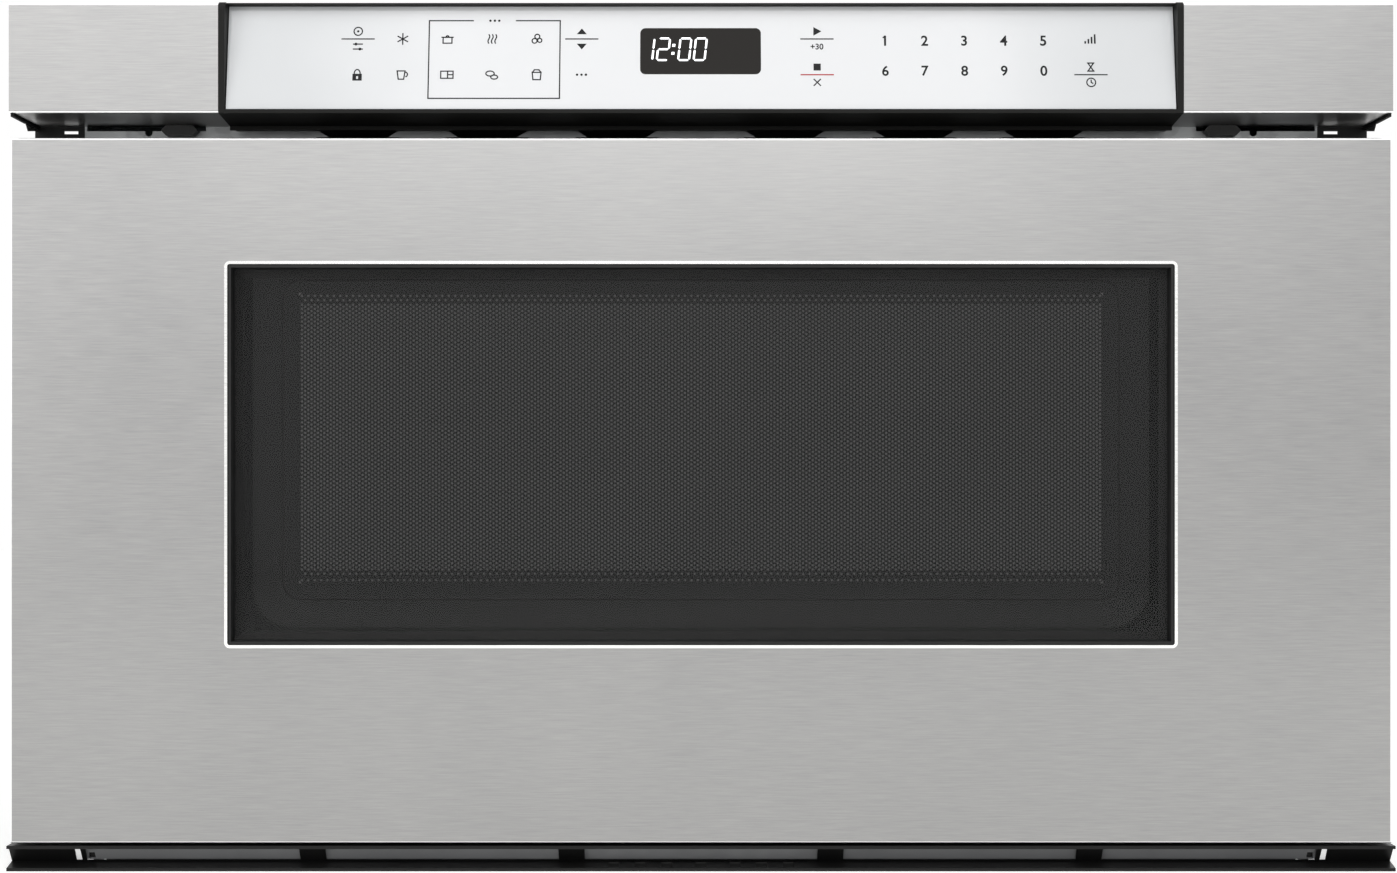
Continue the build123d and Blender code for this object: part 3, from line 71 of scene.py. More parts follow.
MM = 0.001
SHARP = 0.02 * MM  # the radius of an outline's corners that look square
SIDES = (("left", -1), ("right", 1))
WHITE = "#ffffff"
Colour = tuple[float, float, float, float]
Point2 = tuple[float, float]
Point3 = tuple[float, float, float]
Socket = bpy.types.NodeSocket
Inputs = dict[str | int, Any]


# ------------------------------------------------------------------ small tools


def linear(code: str) -> Colour:
    """Turns an sRGB hex colour into linear light.

    Args:
        code: The colour as "#rrggbb".

    Returns:
        Red, green, blue and an alpha of 1.
    """
    channels = [int(code[i : i + 2], 16) / 255 for i in (1, 3, 5)]
    light = [c / 12.92 if c <= 0.04045 else ((c + 0.055) / 1.055) ** 2.4 for c in channels]
    return *light, 1.0


def per_metre(size_mm: float) -> float:
    """Turns the size of a pattern's repeat in millimetres into its scale."""
    return 1 / (size_mm * MM)


def placed(name: str, data: bpy.types.ID) -> bpy.types.Object:
    """Puts something into the scene.

    Args:
        name: The object's name.
        data: What it holds.

    Returns:
        The new object, at the origin.
    """
    made = bpy.data.objects.new(name, data)
    bpy.context.scene.collection.objects.link(made)
    return made


def mesh_points(mesh: bpy.types.Mesh) -> np.ndarray:
    """Reads a mesh's vertices.

    Args:
        mesh: The mesh.

    Returns:
        Their places, one row each.
    """
    points = np.empty(len(mesh.vertices) * 3)
    mesh.vertices.foreach_get("co", points)
    return points.reshape(-1, 3)


def grid_faces(rows: int, columns: int, wrap: bool = False) -> np.ndarray:
    """Faces of a surface sampled on a grid of two parameters.

    Args:
        rows: Samples of the first parameter.
        columns: Samples of the second, which runs fastest.
        wrap: Whether the second parameter closes on itself.

    Returns:
        One row of four point numbers for each face.
    """
    steps = columns if wrap else columns - 1
    row, column = np.meshgrid(np.arange(rows - 1), np.arange(steps), indexing="ij")
    beside = (column + 1) % columns
    quads = [row * columns + column, row * columns + beside]
    quads += [(row + 1) * columns + beside, (row + 1) * columns + column]
    return np.stack(quads, axis=-1).reshape(-1, 4)


@dataclass(frozen=True)
class Nodes:
    """A tree that takes shader nodes: an input of theirs is a value to set or a socket to link."""

    tree: bpy.types.NodeTree

    def feed(self, node: bpy.types.Node, inputs: Inputs) -> None:
        """Gives a node its inputs.

        Args:
            node: The node.
            inputs: What goes into it, by name or number.
        """
        for key, term in inputs.items():
            if isinstance(term, Socket):
                self.tree.links.new(term, node.inputs[key])
            else:
                node.inputs[key].default_value = term

    def add(self, kind: str, inputs: Inputs, **settings: Any) -> bpy.types.Node:
        """Adds one node.

        Args:
            kind: The name of its type.
            inputs: What goes into it, by name or number.
            **settings: Its other settings.

        Returns:
            The new node.
        """
        node = self.tree.nodes.new(f"ShaderNode{kind}")
        for name, value in settings.items():
            setattr(node, name, value)
        self.feed(node, inputs)
        return node

    def place(self, of: str = "Object") -> Socket:
        """Gives the point in the piece's own axes, or its normal."""
        return self.add("TexCoord", {}).outputs[of]

    def part(self, axis: str, of: str = "Object") -> Socket:
        """Gives one coordinate of the point, or of its normal."""
        return self.add("SeparateXYZ", {0: self.place(of)}).outputs[axis]

    def maths(self, operation: str, *terms: Socket | float) -> Socket:
        """Works out one operation on its terms."""
        return self.add("Math", dict(enumerate(terms)), operation=operation).outputs[0]

    def rays(self, *kinds: str) -> Socket:
        """Gives 1 on rays of the named kinds, and 0 on others."""
        found = self.add("LightPath", {}).outputs
        return reduce(partial(self.maths, "MAXIMUM"), [found[f"Is {kind} Ray"] for kind in kinds])

    def noise(
        self,
        size_mm: float | Sequence[float],
        detail: float = 2.0,
        rough: float = 0.5,
        bent: float = 0.0,
        output: int = 0,
    ) -> Socket:
        """Adds a noise.

        Args:
            size_mm: The size of its lumps, or one for each axis.
            detail: How many finer noises lie on it.
            rough: How strong each of them is against the one before.
            bent: How far it is pushed aside by itself.
            output: 0 for its height, 1 for its colour.

        Returns:
            The height or the colour.
        """
        place, scale = self.place(), 1.0
        if isinstance(size_mm, float):
            scale = per_metre(size_mm)
        else:
            sizes = [per_metre(size) for size in size_mm]
            place = self.add("Mapping", {"Vector": place, "Scale": sizes}).outputs[0]
        fine = {"Detail": detail, "Roughness": rough, "Distortion": bent}
        return self.add("TexNoise", {"Vector": place, "Scale": scale} | fine).outputs[output]

    def spread(
        self,
        value: Socket,
        start: Point2 = (0.0, 1.0),
        end: Point2 = (0.0, 1.0),
        curve: str = "LINEAR",
    ) -> Socket:
        """Maps one stretch of a value to another, and holds it beyond.

        Args:
            value: The value.
            start: The stretch that it comes from.
            end: The stretch that it goes to.
            curve: How it goes from end to end.

        Returns:
            The mapped value.
        """
        names = ("Value", "From Min", "From Max", "To Min", "To Max")
        inputs = dict(zip(names, (value, *start, *end), strict=True))
        return self.add("MapRange", inputs, interpolation_type=curve).outputs[0]

    def mix(self, amount: Socket, *tones: Socket | str) -> Socket:
        """Mixes two colours, each a socket or a hex colour, by an amount from 0 to 1."""
        first, second = [linear(tone) if isinstance(tone, str) else tone for tone in tones]
        return self.add("Mix", {0: amount, 6: first, 7: second}, data_type="RGBA").outputs[2]

    def relief(self, height: Socket, strength: float, depth_mm: float) -> Socket:
        """Gives the normal of a relief of this height."""
        inputs = {"Height": height, "Strength": strength, "Distance": depth_mm * MM}
        return self.add("Bump", inputs).outputs[0]


@dataclass
class Shape:
    """Points and faces gathered for one mesh."""

    points: list[np.ndarray] = field(default_factory=list)
    faces: list[list[int]] = field(default_factory=list)
    count: int = 0

    def add(self, points: np.ndarray, faces: Iterable[Sequence[int]]) -> None:
        """Takes in one more surface.

        Args:
            points: Its points, one row each.
            faces: The point numbers of its faces, from 0.
        """
        first = self.count
        self.points.append(np.asarray(points, float))
        self.faces += [[first + int(corner) for corner in face] for face in faces]
        self.count += len(points)

    def block(self, middle: Sequence[float], reach: Sequence[float]) -> None:
        """Takes in a box, as every mix of the two signs about its middle.

        Args:
            middle: Its middle.
            reach: Half its size along each axis.
        """
        signs = np.array(np.meshgrid((-1, 1), (-1, 1), (-1, 1), indexing="ij")).reshape(3, 8).T
        sides = [[0, 1, 3, 2], [4, 6, 7, 5], [0, 4, 5, 1], [2, 3, 7, 6], [0, 2, 6, 4], [1, 5, 7, 3]]
        self.add(np.array(middle) + signs * reach, sides)

    def band(
        self, rings: list[np.ndarray], depths: list[float], centre: Point2, facing: int = -1
    ) -> None:
        """Takes in outlines that are joined, each to the next, into one surface.

        Args:
            rings: The outlines, from the innermost.
            depths: The y of each.
            centre: The x and z of their middle.
            facing: -1 for a front that faces -Y, 1 for a back.
        """
        for ring, depth in zip(rings, depths, strict=True):
            x, z = (ring + centre).T
            self.points.append(np.stack([x, np.full(len(ring), depth), z], axis=1))
        faces = grid_faces(len(rings), len(rings[0]), wrap=True)
        faces = faces if facing > 0 else faces[:, ::-1]
        self.faces += (self.count + faces).tolist()
        self.count += sum(len(ring) for ring in rings)

    def made(self, name: str, finish: "Finish") -> bpy.types.Object:
        """Makes one object of the gathered surfaces.

        Args:
            name: The object's name.
            finish: What it is made of.

        Returns:
            The new object, whose place is in its mesh.
        """
        mesh = bpy.data.meshes.new(name)
        mesh.from_pydata(np.concatenate(self.points).tolist(), [], self.faces)
        mesh.materials.append(finish.material())
        mesh.update()
        return placed(name, mesh)

    def piece(
        self, name: str, body: str, finish: "Finish", slot: str | None = None
    ) -> bpy.types.Object:
        """Makes the gathered surfaces one piece that rides on a body.

        Args:
            name: The piece's name.
            body: The body that carries it.
            finish: What it is made of.
            slot: Not used.

        Returns:
            The new piece.
        """
        made = self.made(name, finish)
        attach(made, body)
        logging.info("%s: %d faces on %s", name, len(self.faces), body)
        return made


# ------------------------------------------------------------------ finishes


@dataclass(frozen=True)
class Finish:
    """A material's plain values, and what its own class lets vary over the surface."""

    name: str
    colour: str
    roughness: float
    metallic: float = 0.0
    ior: float = 1.5
    specular: float = 0.5
    coat: float = 0.0
    coat_roughness: float = 0.03
    opacity: float = 1.0
    glow: float = 0.0

    def material(self) -> bpy.types.Material:
        """Makes the material, unless it is made already.

        Returns:
            The material.
        """
        made = bpy.data.materials.get(self.name)
        if made:
            return made
        made = bpy.data.materials.new(self.name)
        made.use_nodes = True
        made.node_tree.nodes.clear()
        nodes = Nodes(made.node_tree)
        shader = nodes.add("BsdfPrincipled", self.values())
        nodes.add("OutputMaterial", {"Surface": shader.outputs[0]})
        nodes.feed(shader, self.varied(nodes))
        return made

    def values(self) -> Inputs:
        """Lists what is the same all over the surface.

        Returns:
            The shader's inputs, by name.
        """
        return {
            "Base Color": linear(self.colour),
            "Roughness": self.roughness,
            "Metallic": self.metallic,
            "IOR": self.ior,
            "Specular IOR Level": self.specular,
            "Coat Weight": self.coat,
            "Coat Roughness": self.coat_roughness,
            "Alpha": self.opacity,
            "Emission Color": linear(self.colour),
            "Emission Strength": self.glow,
        }

    def varied(self, nodes: Nodes) -> Inputs:
        """Draws what varies over the surface, by socket; a plain finish has nothing."""
        return {}

    def around(self, less: float, more: float) -> Point2:
        """Gives the roughness a little under the finish's own, and a little over it."""
        return self.roughness - less, self.roughness + more


@dataclass(frozen=True)
class BrushedStainless(Finish):
    """Stainless sheet, brushed along X: long fine scratches, and a painted highlight along the
    bends.
    """

    metallic: float = 1.0
    streak: str = "#abaaa9"
    # the colour of the highlight painted on the bends
    bend: str = WHITE
    grain_length_mm: float = 17.0
    grain_width_mm: float = 0.55
    cloud_mm: float = 70.0
    cloud_share: float = 0.22
    streaks_from: Point2 = (0.34, 0.88)
    worn_from: Point2 = (0.3, 0.7)
    worn: Point2 = (0.30, 0.40)
    highlight_from: Point2 = (0.06, 0.14)
    highlight_to: Point2 = (0.90, 0.97)
    scratch_depth_mm: float = 0.012
    anisotropy: float = 0.6

    def values(self) -> Inputs:
        """Adds the stretch that brushing gives the gloss."""
        return super().values() | {"Anisotropic": self.anisotropy}

    def varied(self, nodes: Nodes) -> Inputs:
        """Draws the brush lines, the clouding between them and a highlight painted white on the
        bends.

        A bend is where the face turns from -Y: its normal's y lies between the flat ones.

        Args:
            nodes: The material's tree.

        Returns:
            The shader's inputs.
        """
        sizes = (self.grain_length_mm, 3 * self.grain_width_mm, self.grain_width_mm)
        scratches = nodes.noise(sizes, detail=4.0, rough=0.68, bent=0.15)
        both = nodes.maths(
            "MULTIPLY_ADD", nodes.noise(self.cloud_mm), self.cloud_share, scratches
        )
        brushed = nodes.mix(nodes.spread(both, self.streaks_from), self.colour, self.streak)
        bend_highlight = nodes.add("ValToRGB", {0: nodes.maths("ABSOLUTE", nodes.part("Y", "Normal"))})
        marks = bend_highlight.color_ramp.elements
        marks[0].position, marks[1].position = self.highlight_from[0], self.highlight_to[1]
        marks[1].color = marks[0].color
        for position in (self.highlight_from[1], self.highlight_to[0]):
            marks.new(position).color = linear(WHITE)
        return {
            # the bends take the painted highlight colour
            "Base Color": nodes.mix(bend_highlight.outputs[0], brushed, self.bend),
            "Roughness": nodes.spread(scratches, self.worn_from, self.worn),
            "Normal": nodes.relief(scratches, strength=0.25, depth_mm=self.scratch_depth_mm),
        }


@dataclass(frozen=True)
class GrainedSurface(Finish):
    """A moulded, painted or cast skin: a fine grain felt by the light, and faint patches."""

    patch: str = "#000000"
    grain_mm: float = 0.6
    grain_depth_mm: float = 0.02
    patch_mm: float = 45.0
    patches_from: Point2 = (0.35, 0.7)

    def varied(self, nodes: Nodes) -> Inputs:
        """Draws the grain as relief and the patches as colour.

        Args:
            nodes: The material's tree.

        Returns:
            The shader's inputs.
        """
        grain = nodes.noise(self.grain_mm)
        patches = nodes.spread(nodes.noise(self.patch_mm, detail=5.0, rough=0.6), self.patches_from)
        return {
            "Normal": nodes.relief(grain, strength=0.3, depth_mm=self.grain_depth_mm),
            "Base Color": nodes.mix(patches, self.colour, self.patch),
        }


@dataclass(frozen=True)
class SpangledZinc(Finish):
    """Hot-dip galvanised sheet: crystals of zinc that catch the light each its own way."""

    metallic: float = 1.0
    spangle: str = "#a5a9ab"
    spangle_mm: float = 6.0

    def varied(self, nodes: Nodes) -> Inputs:
        """Draws the crystals as cells, each with its own grey and its own gloss.

        Args:
            nodes: The material's tree.

        Returns:
            The shader's inputs.
        """
        wander = nodes.noise(self.spangle_mm / 2, detail=1.0, output=1)
        bend = {0: wander, 1: (self.spangle_mm * MM / 3,) * 3, 2: nodes.place()}
        bent = nodes.add("VectorMath", bend, operation="MULTIPLY_ADD").outputs[0]
        cells = nodes.add("TexVoronoi", {"Vector": bent, "Scale": per_metre(self.spangle_mm)})
        shades = nodes.add("SeparateColor", {0: cells.outputs["Color"]}).outputs
        return {
            "Base Color": nodes.mix(shades[0], self.colour, self.spangle),
            "Roughness": nodes.spread(shades[1], end=self.around(less=0.08, more=0.1)),
        }


@dataclass(frozen=True)
class DrawnMetal(Finish):
    """Plated, drawn or stamped metal: faint lines along one way and a little clouding."""

    metallic: float = 1.0
    shade: str = "#8c8f92"
    line_mm: float = 0.8
    run_mm: Point3 = (30.0, 1.0, 1.0)
    lines_from: Point2 = (0.3, 0.75)

    def varied(self, nodes: Nodes) -> Inputs:
        """Draws the lines, longest along the way that the metal was drawn.

        Args:
            nodes: The material's tree.

        Returns:
            The shader's inputs.
        """
        sizes = [self.line_mm * run for run in self.run_mm]
        lines = nodes.noise(sizes, detail=4.0, rough=0.6)
        return {
            "Base Color": nodes.mix(nodes.spread(lines, self.lines_from), self.colour, self.shade),
            "Roughness": nodes.spread(lines, end=self.around(less=0.06, more=0.1)),
        }


@dataclass(frozen=True)
class SpeckledCoat(Finish):
    """Baked enamel, glass ceramic or mica: a smooth coat with flecks fused into it."""

    coat: float = 0.3
    coat_roughness: float = 0.12
    fleck: str = "#8f8f8c"
    fleck_mm: float = 1.6
    flecks_from: Point2 = (0.62, 0.68)

    def varied(self, nodes: Nodes) -> Inputs:
        """Draws the flecks where a fine noise rises over its mark."""
        flecks = nodes.spread(nodes.noise(self.fleck_mm, detail=3.0), self.flecks_from)
        return {"Base Color": nodes.mix(flecks, self.colour, self.fleck)}


@dataclass(frozen=True)
class BackPrintedGlass(Finish):
    """Float glass printed on its back: a deep even colour under a mirror-smooth face, with shade
    painted towards its ends.
    """

    coat: float = 0.5
    # the colour of the shade painted towards the ends
    end_shade: str = "#cfd1d3"
    unshaded_to: float = 135.0 * MM
    shaded_from: float = 212.0 * MM
    shade_wander_mm: float = 55.0

    def varied(self, nodes: Nodes) -> Inputs:
        """Paints shade towards the ends, over a stretch whose edge wanders.

        Args:
            nodes: The material's tree.

        Returns:
            The shader's inputs.
        """
        aside = nodes.maths("ABSOLUTE", nodes.part("X"))
        wander = nodes.noise(self.shade_wander_mm, detail=1.0)
        uneven = nodes.maths("MULTIPLY_ADD", wander, self.shade_wander_mm * MM, aside)
        # painted shade: none in the middle, full towards the ends
        end_shade_mask = nodes.spread(uneven, (self.unshaded_to, self.shaded_from), curve="SMOOTHSTEP")
        return {"Base Color": nodes.mix(end_shade_mask, self.colour, self.end_shade)}


@dataclass(frozen=True)
class SmokedGlass(Finish):
    """Grey-tinted float glass: it shows what lies behind it, darker."""

    coat: float = 0.35
    coat_roughness: float = 0.02
    smear_mm: float = 60.0

    def varied(self, nodes: Nodes) -> Inputs:
        """Draws the faint haze that wiping leaves on the face."""
        haze = nodes.noise(self.smear_mm, detail=3.0)
        return {"Roughness": nodes.spread(haze, end=self.around(less=0.0, more=0.06))}


@dataclass(frozen=True)
class PaleFloor(Finish):
    """A painted studio floor, seen and mirrored as white as the room, with the shadow on it."""

    seen_light: float = 0.44
    white_from: Point2 = (1.3, 3.4)

    def values(self) -> Inputs:
        """Adds the colour of what lifts the floor to the room's white."""
        return super().values() | {"Emission Color": linear(WHITE)}

    def varied(self, nodes: Nodes) -> Inputs:
        """Lifts the floor for the rays that see or mirror it, and to the room's white far out.

        Args:
            nodes: The material's tree.

        Returns:
            The shader's inputs.
        """
        light = nodes.spread(nodes.rays("Camera", "Glossy"), end=(0.0, self.seen_light))
        away = nodes.add("VectorMath", {0: nodes.place()}, operation="LENGTH").outputs["Value"]
        far = nodes.spread(away, self.white_from, (0.0, 1 - self.seen_light), "SMOOTHSTEP")
        return {"Emission Strength": nodes.maths("MULTIPLY_ADD", far, nodes.rays("Camera"), light)}


@dataclass(frozen=True)
class WoundCore(Finish):
    """A transformer: stacked steel sheets, with lacquered copper where the coils stand out."""

    edge: str = "#4c4f52"
    copper: str = "#8a4b2a"
    sheet_mm: float = 0.8
    node: str = "transformer"
    core_share: float = 0.31

    def varied(self, nodes: Nodes) -> Inputs:
        """Draws the sheets' edges as bands, and copper outside the core's depth.

        Args:
            nodes: The material's tree.

        Returns:
            The shader's inputs.
        """
        low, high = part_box(self.node)
        wave = {"Vector": nodes.place(), "Scale": per_metre(20 * self.sheet_mm), "Distortion": 0.4}
        bands = nodes.add("TexWave", wave, bands_direction="Y").outputs[1]
        stacked = nodes.mix(bands, self.colour, self.edge)
        depth = (high.y - low.y) * self.core_share + MM
        core = nodes.maths("COMPARE", nodes.part("Y"), (low.y + high.y) / 2, depth)
        return {"Base Color": nodes.mix(core, self.copper, stacked)}


STAINLESS = BrushedStainless("stainless_brushed", "#979797", 0.34)
POLISHED = DrawnMetal("stainless_polished_edge", "#fdfdfb", 0.12, shade="#e9e9e6")
HOUSING = GrainedSurface(
    "abs_moulded_black", "#191918", 0.5, specular=0.12, patch="#1d1d1c", grain_mm=0.5
)
BEZEL = GrainedSurface(
    "pc_moulded_black_satin", "#262626", 0.5, specular=0.2, patch="#2a2a2a", grain_mm=0.4
)
WHITE_GLASS = BackPrintedGlass("glass_back_printed_white", "#e0e1e3", 0.08, specular=0.3)
DISPLAY = BackPrintedGlass(
    "glass_smoked_display", "#262422", 0.12, specular=0.05, end_shade="#242220", coat=0.05
)
WINDOW_GLASS = SmokedGlass("glass_smoked_window", "#050505", 0.02, opacity=0.16)
WINDOW_PRINT = GrainedSurface(
    "ceramic_ink_black", "#121212", 0.4, specular=0.1, patch="#141414", grain_mm=0.5
)
SCREEN = GrainedSurface(
    "steel_enamelled_black", "#242424", 0.45, specular=0.15, patch="#262626", grain_mm=0.5
)
# A grey film whose colour is painted light: the lit cavity seen through the screen's holes.
PAINTED_LIGHT_FILM = GrainedSurface(
    "film_grey_painted_light", "#616161", 0.5, specular=0.1, patch="#656565", grain_mm=0.5
)
BLACK_SHEET = GrainedSurface(
    "steel_powder_coated_black", "#0e0e0e", 0.4, specular=0.25, patch="#121212", grain_mm=0.9
)
GRILLE_STRIP = GrainedSurface(
    "steel_zinc_chromated_matt", "#9a9b9d", 0.5, specular=0.4, patch="#87888a", patch_mm=120.0
)
GASKET = GrainedSurface("rubber_foam_black", "#0e0e0e", 0.8, specular=0.2, patch="#121212")
FRONT_STEEL = SpangledZinc("steel_galvanised_front", "#a2a4a5", 0.42, spangle="#a9abac")
GALVANISED = SpangledZinc("steel_galvanised", "#979b9d", 0.40)
RAIL = DrawnMetal("steel_zinc_plated_drawn", "#b6babc", 0.30, run_mm=(1.0, 30.0, 1.0))
CAVITY = SpeckledCoat("enamel_baked_grey", "#b9b9b6", 0.35, fleck="#9d9d9a")
CERAMIC = SpeckledCoat(
    "glass_ceramic_white", "#dddbd6", 0.18, fleck="#cfccc5", fleck_mm=2.4, coat=0.6
)
MICA = SpeckledCoat("mica_pressed", "#b8ab8c", 0.35, fleck="#8d8063", fleck_mm=3.0, coat=0.2)
BLACK_PLASTIC = GrainedSurface("pp_moulded_black", "#1c1c1c", 0.45, patch="#222222", grain_mm=0.7)
WHITE_PLASTIC = GrainedSurface(
    "acetal_moulded_white", "#e4e3dd", 0.35, patch="#dcdad2", grain_mm=0.8
)
MOTOR = DrawnMetal("steel_deep_drawn_motor_can", "#a9acae", 0.34)
MAGNETRON = DrawnMetal("steel_plated_magnetron", "#b3b3ae", 0.38, shade="#9a9a95")
CORE = WoundCore("steel_laminated_core", "#6f7478", 0.5, metallic=0.6)
CAN = DrawnMetal("aluminium_drawn", "#c9cbcd", 0.28, run_mm=(1.0, 1.0, 24.0))
BOARD = GrainedSurface(
    "epoxy_board_green", "#245b3c", 0.4, patch="#2f6b47", grain_mm=1.2, patch_mm=6.0
)
INK = GrainedSurface("ink_screen_printed_black", "#0e0f11", 0.5, specular=0.2, patch="#131416")
RED_INK = GrainedSurface("ink_screen_printed_red", "#b3262e", 0.5, specular=0.2, patch="#a82229")
LIT = Finish("display_segments_lit", "#f4f6f8", 0.4, glow=1.0)
FLOOR = PaleFloor("studio_floor_pale", "#f0f0ee", 0.7, specular=0.2)


def dress(finish: Finish, *nodes: str) -> None:
    """Gives frame nodes a finish.

    Args:
        finish: What the nodes are made of.
        *nodes: Their names.
    """
    for name in nodes:
        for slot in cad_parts[name].material_slots:
            slot.material = finish.material()
        logging.info("%s: %s", name, finish.name)


# ------------------------------------------------------------------ printed signs


@dataclass(frozen=True)
class Stroke:
    """A line of ink through points, or a closed outline."""

    points: tuple[Point2, ...]
    closed: bool = False

    def path(self) -> np.ndarray:
        """Gives the line's points, one row each."""
        return np.array(self.points, float)


@dataclass(frozen=True)
class Bow:
    """A line of ink along part of an ellipse: centre + (cos a, squash sin a) radius."""

    centre: Point2
    radius: float
    start: float = 0.0
    sweep: float = 360.0
    squash: float = 1.0
    steps: int = 20

    @property
    def closed(self) -> bool:
        """Says whether the line comes back to its start."""
        return self.sweep >= 360.0

    def path(self) -> np.ndarray:
        """Works out the line's points.

        Returns:
            The points, one row each.
        """
        turn = np.radians(self.start + np.linspace(0, self.sweep, self.steps + 1))
        turn = turn[:-1] if self.closed else turn
        ring = np.stack([np.cos(turn), self.squash * np.sin(turn)], axis=1)
        return np.array(self.centre) + self.radius * ring


@dataclass(frozen=True)
class Blot:
    """A filled outline."""

    outline: Stroke | Bow

    def path(self) -> np.ndarray:
        """Gives the outline's points, one row each."""
        return self.outline.path()


Mark = Stroke | Bow | Blot


def oblong(left: float, foot: float, right: float, top: float) -> Stroke:
    """A closed rectangle between two corners."""
    return Stroke(((left, foot), (right, foot), (right, top), (left, top)), closed=True)


def spokes(count: int, radius: float) -> tuple[Stroke, ...]:
    """Lines through the middle, evenly turned, the first one upright.

    Args:
        count: How many.
        radius: Half their length.

    Returns:
        The lines.
    """
    turns = [math.pi / 2 + math.pi * k / count for k in range(count)]
    ends = [(radius * math.cos(t), radius * math.sin(t)) for t in turns]
    return tuple(Stroke(((x, z), (-x, -z))) for x, z in ends)


def wave(x: float, height: float = 0.8, sway: float = 0.07, points: int = 9) -> Stroke:
    """An upright wisp: x + sway times the sine of one full turn, over its height."""
    rise = np.linspace(-0.5, 0.5, points)
    return Stroke(tuple((x + sway * math.sin(2 * math.pi * r), height * r) for r in rise))


class Sign(Enum):
    """Signs for the keys, each a few marks in a square from -0.5 to 0.5."""

    START = (Blot(Stroke(((-0.35, -0.45), (0.45, 0.0), (-0.35, 0.45)))),)
    STOP = (Blot(oblong(-0.36, -0.36, 0.36, 0.36)),)
    CLEAR = (Stroke(((-0.36, -0.36), (0.36, 0.36))), Stroke(((-0.36, 0.36), (0.36, -0.36))))
    OPEN = (Blot(Stroke(((-0.5, -0.3), (0.5, -0.3), (0.0, 0.3)))),)
    SHUT = (Blot(Stroke(((-0.5, 0.3), (0.0, -0.3), (0.5, 0.3)))),)
    ASK = (Bow((0, 0), 0.42), Blot(Bow((0, 0), 0.12)))
    ADJUST = (
        Stroke(((-0.5, 0.26), (0.5, 0.26))),
        Stroke(((-0.5, -0.26), (0.5, -0.26))),
        Blot(Bow((-0.2, 0.26), 0.15)),
        Blot(Bow((0.2, -0.26), 0.15)),
    )
    FROST = spokes(3, 0.5)
    LOCK = (
        Blot(oblong(-0.38, -0.5, -0.08, 0.08)),
        Blot(oblong(0.08, -0.5, 0.38, 0.08)),
        Blot(oblong(-0.08, -0.5, 0.08, -0.36)),
        Blot(oblong(-0.08, -0.12, 0.08, 0.08)),
        Bow((0, 0.08), 0.24, 0, 180, squash=1.5),
    )
    CUP = (
        Stroke(((-0.4, 0.32), (-0.3, -0.38), (0.14, -0.38), (0.24, 0.32)), closed=True),
        Bow((0.24, 0.02), 0.2, -80, 160),
    )
    POT = (
        Stroke(((-0.36, 0.14), (-0.36, -0.36), (0.36, -0.36), (0.36, 0.14)), closed=True),
        Stroke(((-0.5, 0.14), (0.5, 0.14))),
        Bow((0, 0.16), 0.11, 0, 180),
    )
    STEAM = (wave(-0.28), wave(0.0), wave(0.28))
    KERNELS = (Bow((-0.2, -0.16), 0.2), Bow((0.22, -0.12), 0.17), Bow((0.02, 0.2), 0.2))
    TRAY = (
        oblong(-0.5, -0.3, 0.5, 0.3),
        Stroke(((0.06, -0.3), (0.06, 0.3))),
        Stroke(((0.06, 0.0), (0.5, 0.0))),
    )
    ROOTS = (Bow((-0.14, 0.1), 0.34, squash=0.62), Bow((0.2, -0.2), 0.28, squash=0.62))
    BAG = (
        Stroke(((-0.3, -0.42), (0.3, -0.42), (0.36, 0.2), (-0.36, 0.2)), closed=True),
        Stroke(((-0.24, 0.42), (0.24, 0.42))),
        Stroke(((-0.36, 0.2), (-0.16, 0.42))),
        Stroke(((0.36, 0.2), (0.16, 0.42))),
    )
    MORE = tuple(Blot(Bow((x, 0), 0.1)) for x in (-0.36, 0.0, 0.36))
    POWER = tuple(
        Blot(oblong(x, -0.4, x + 0.14, top))
        for x, top in ((-0.46, -0.18), (-0.2, 0.0), (0.06, 0.18), (0.32, 0.4))
    )
    TIMER = (
        Stroke(((-0.28, 0.42), (0.28, 0.42), (-0.28, -0.42), (0.28, -0.42)), closed=True),
        Stroke(((-0.36, 0.42), (0.36, 0.42))),
        Stroke(((-0.36, -0.42), (0.36, -0.42))),
    )
    CLOCK = (Bow((0, 0), 0.44), Stroke(((0, 0.3), (0, 0), (0.2, -0.12))))


@dataclass(frozen=True)
class LeaningFace:
    """The front face of a leaning pane: the middle of its foot and its directions."""

    foot: np.ndarray
    up: np.ndarray
    out: np.ndarray

    @classmethod
    def of(cls, name: str) -> "LeaningFace":
        """Reads the face from a node: its foremost edge is the foot, its highest the head.

        Args:
            name: The pane's node.

        Returns:
            The face.
        """
        points = mesh_points(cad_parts[name].data)
        near = 0.01 * MM
        foot = points[points[:, 1] < points[:, 1].min() + near].mean(axis=0)
        head = points[points[:, 2] > points[:, 2].max() - near].mean(axis=0)
        up = (head - foot) * (0, 1, 1)
        up /= np.linalg.norm(up)
        return cls(foot * (0, 1, 1), up, np.cross((1.0, 0.0, 0.0), up))

    def place(self, flat: np.ndarray, lift: float) -> np.ndarray:
        """Lays flat points on the face, a lift proud of it: foot + x right + z up + lift out."""
        across = np.outer(flat[:, 0], (1.0, 0.0, 0.0))
        return self.foot + across + np.outer(flat[:, 1], self.up) + lift * self.out


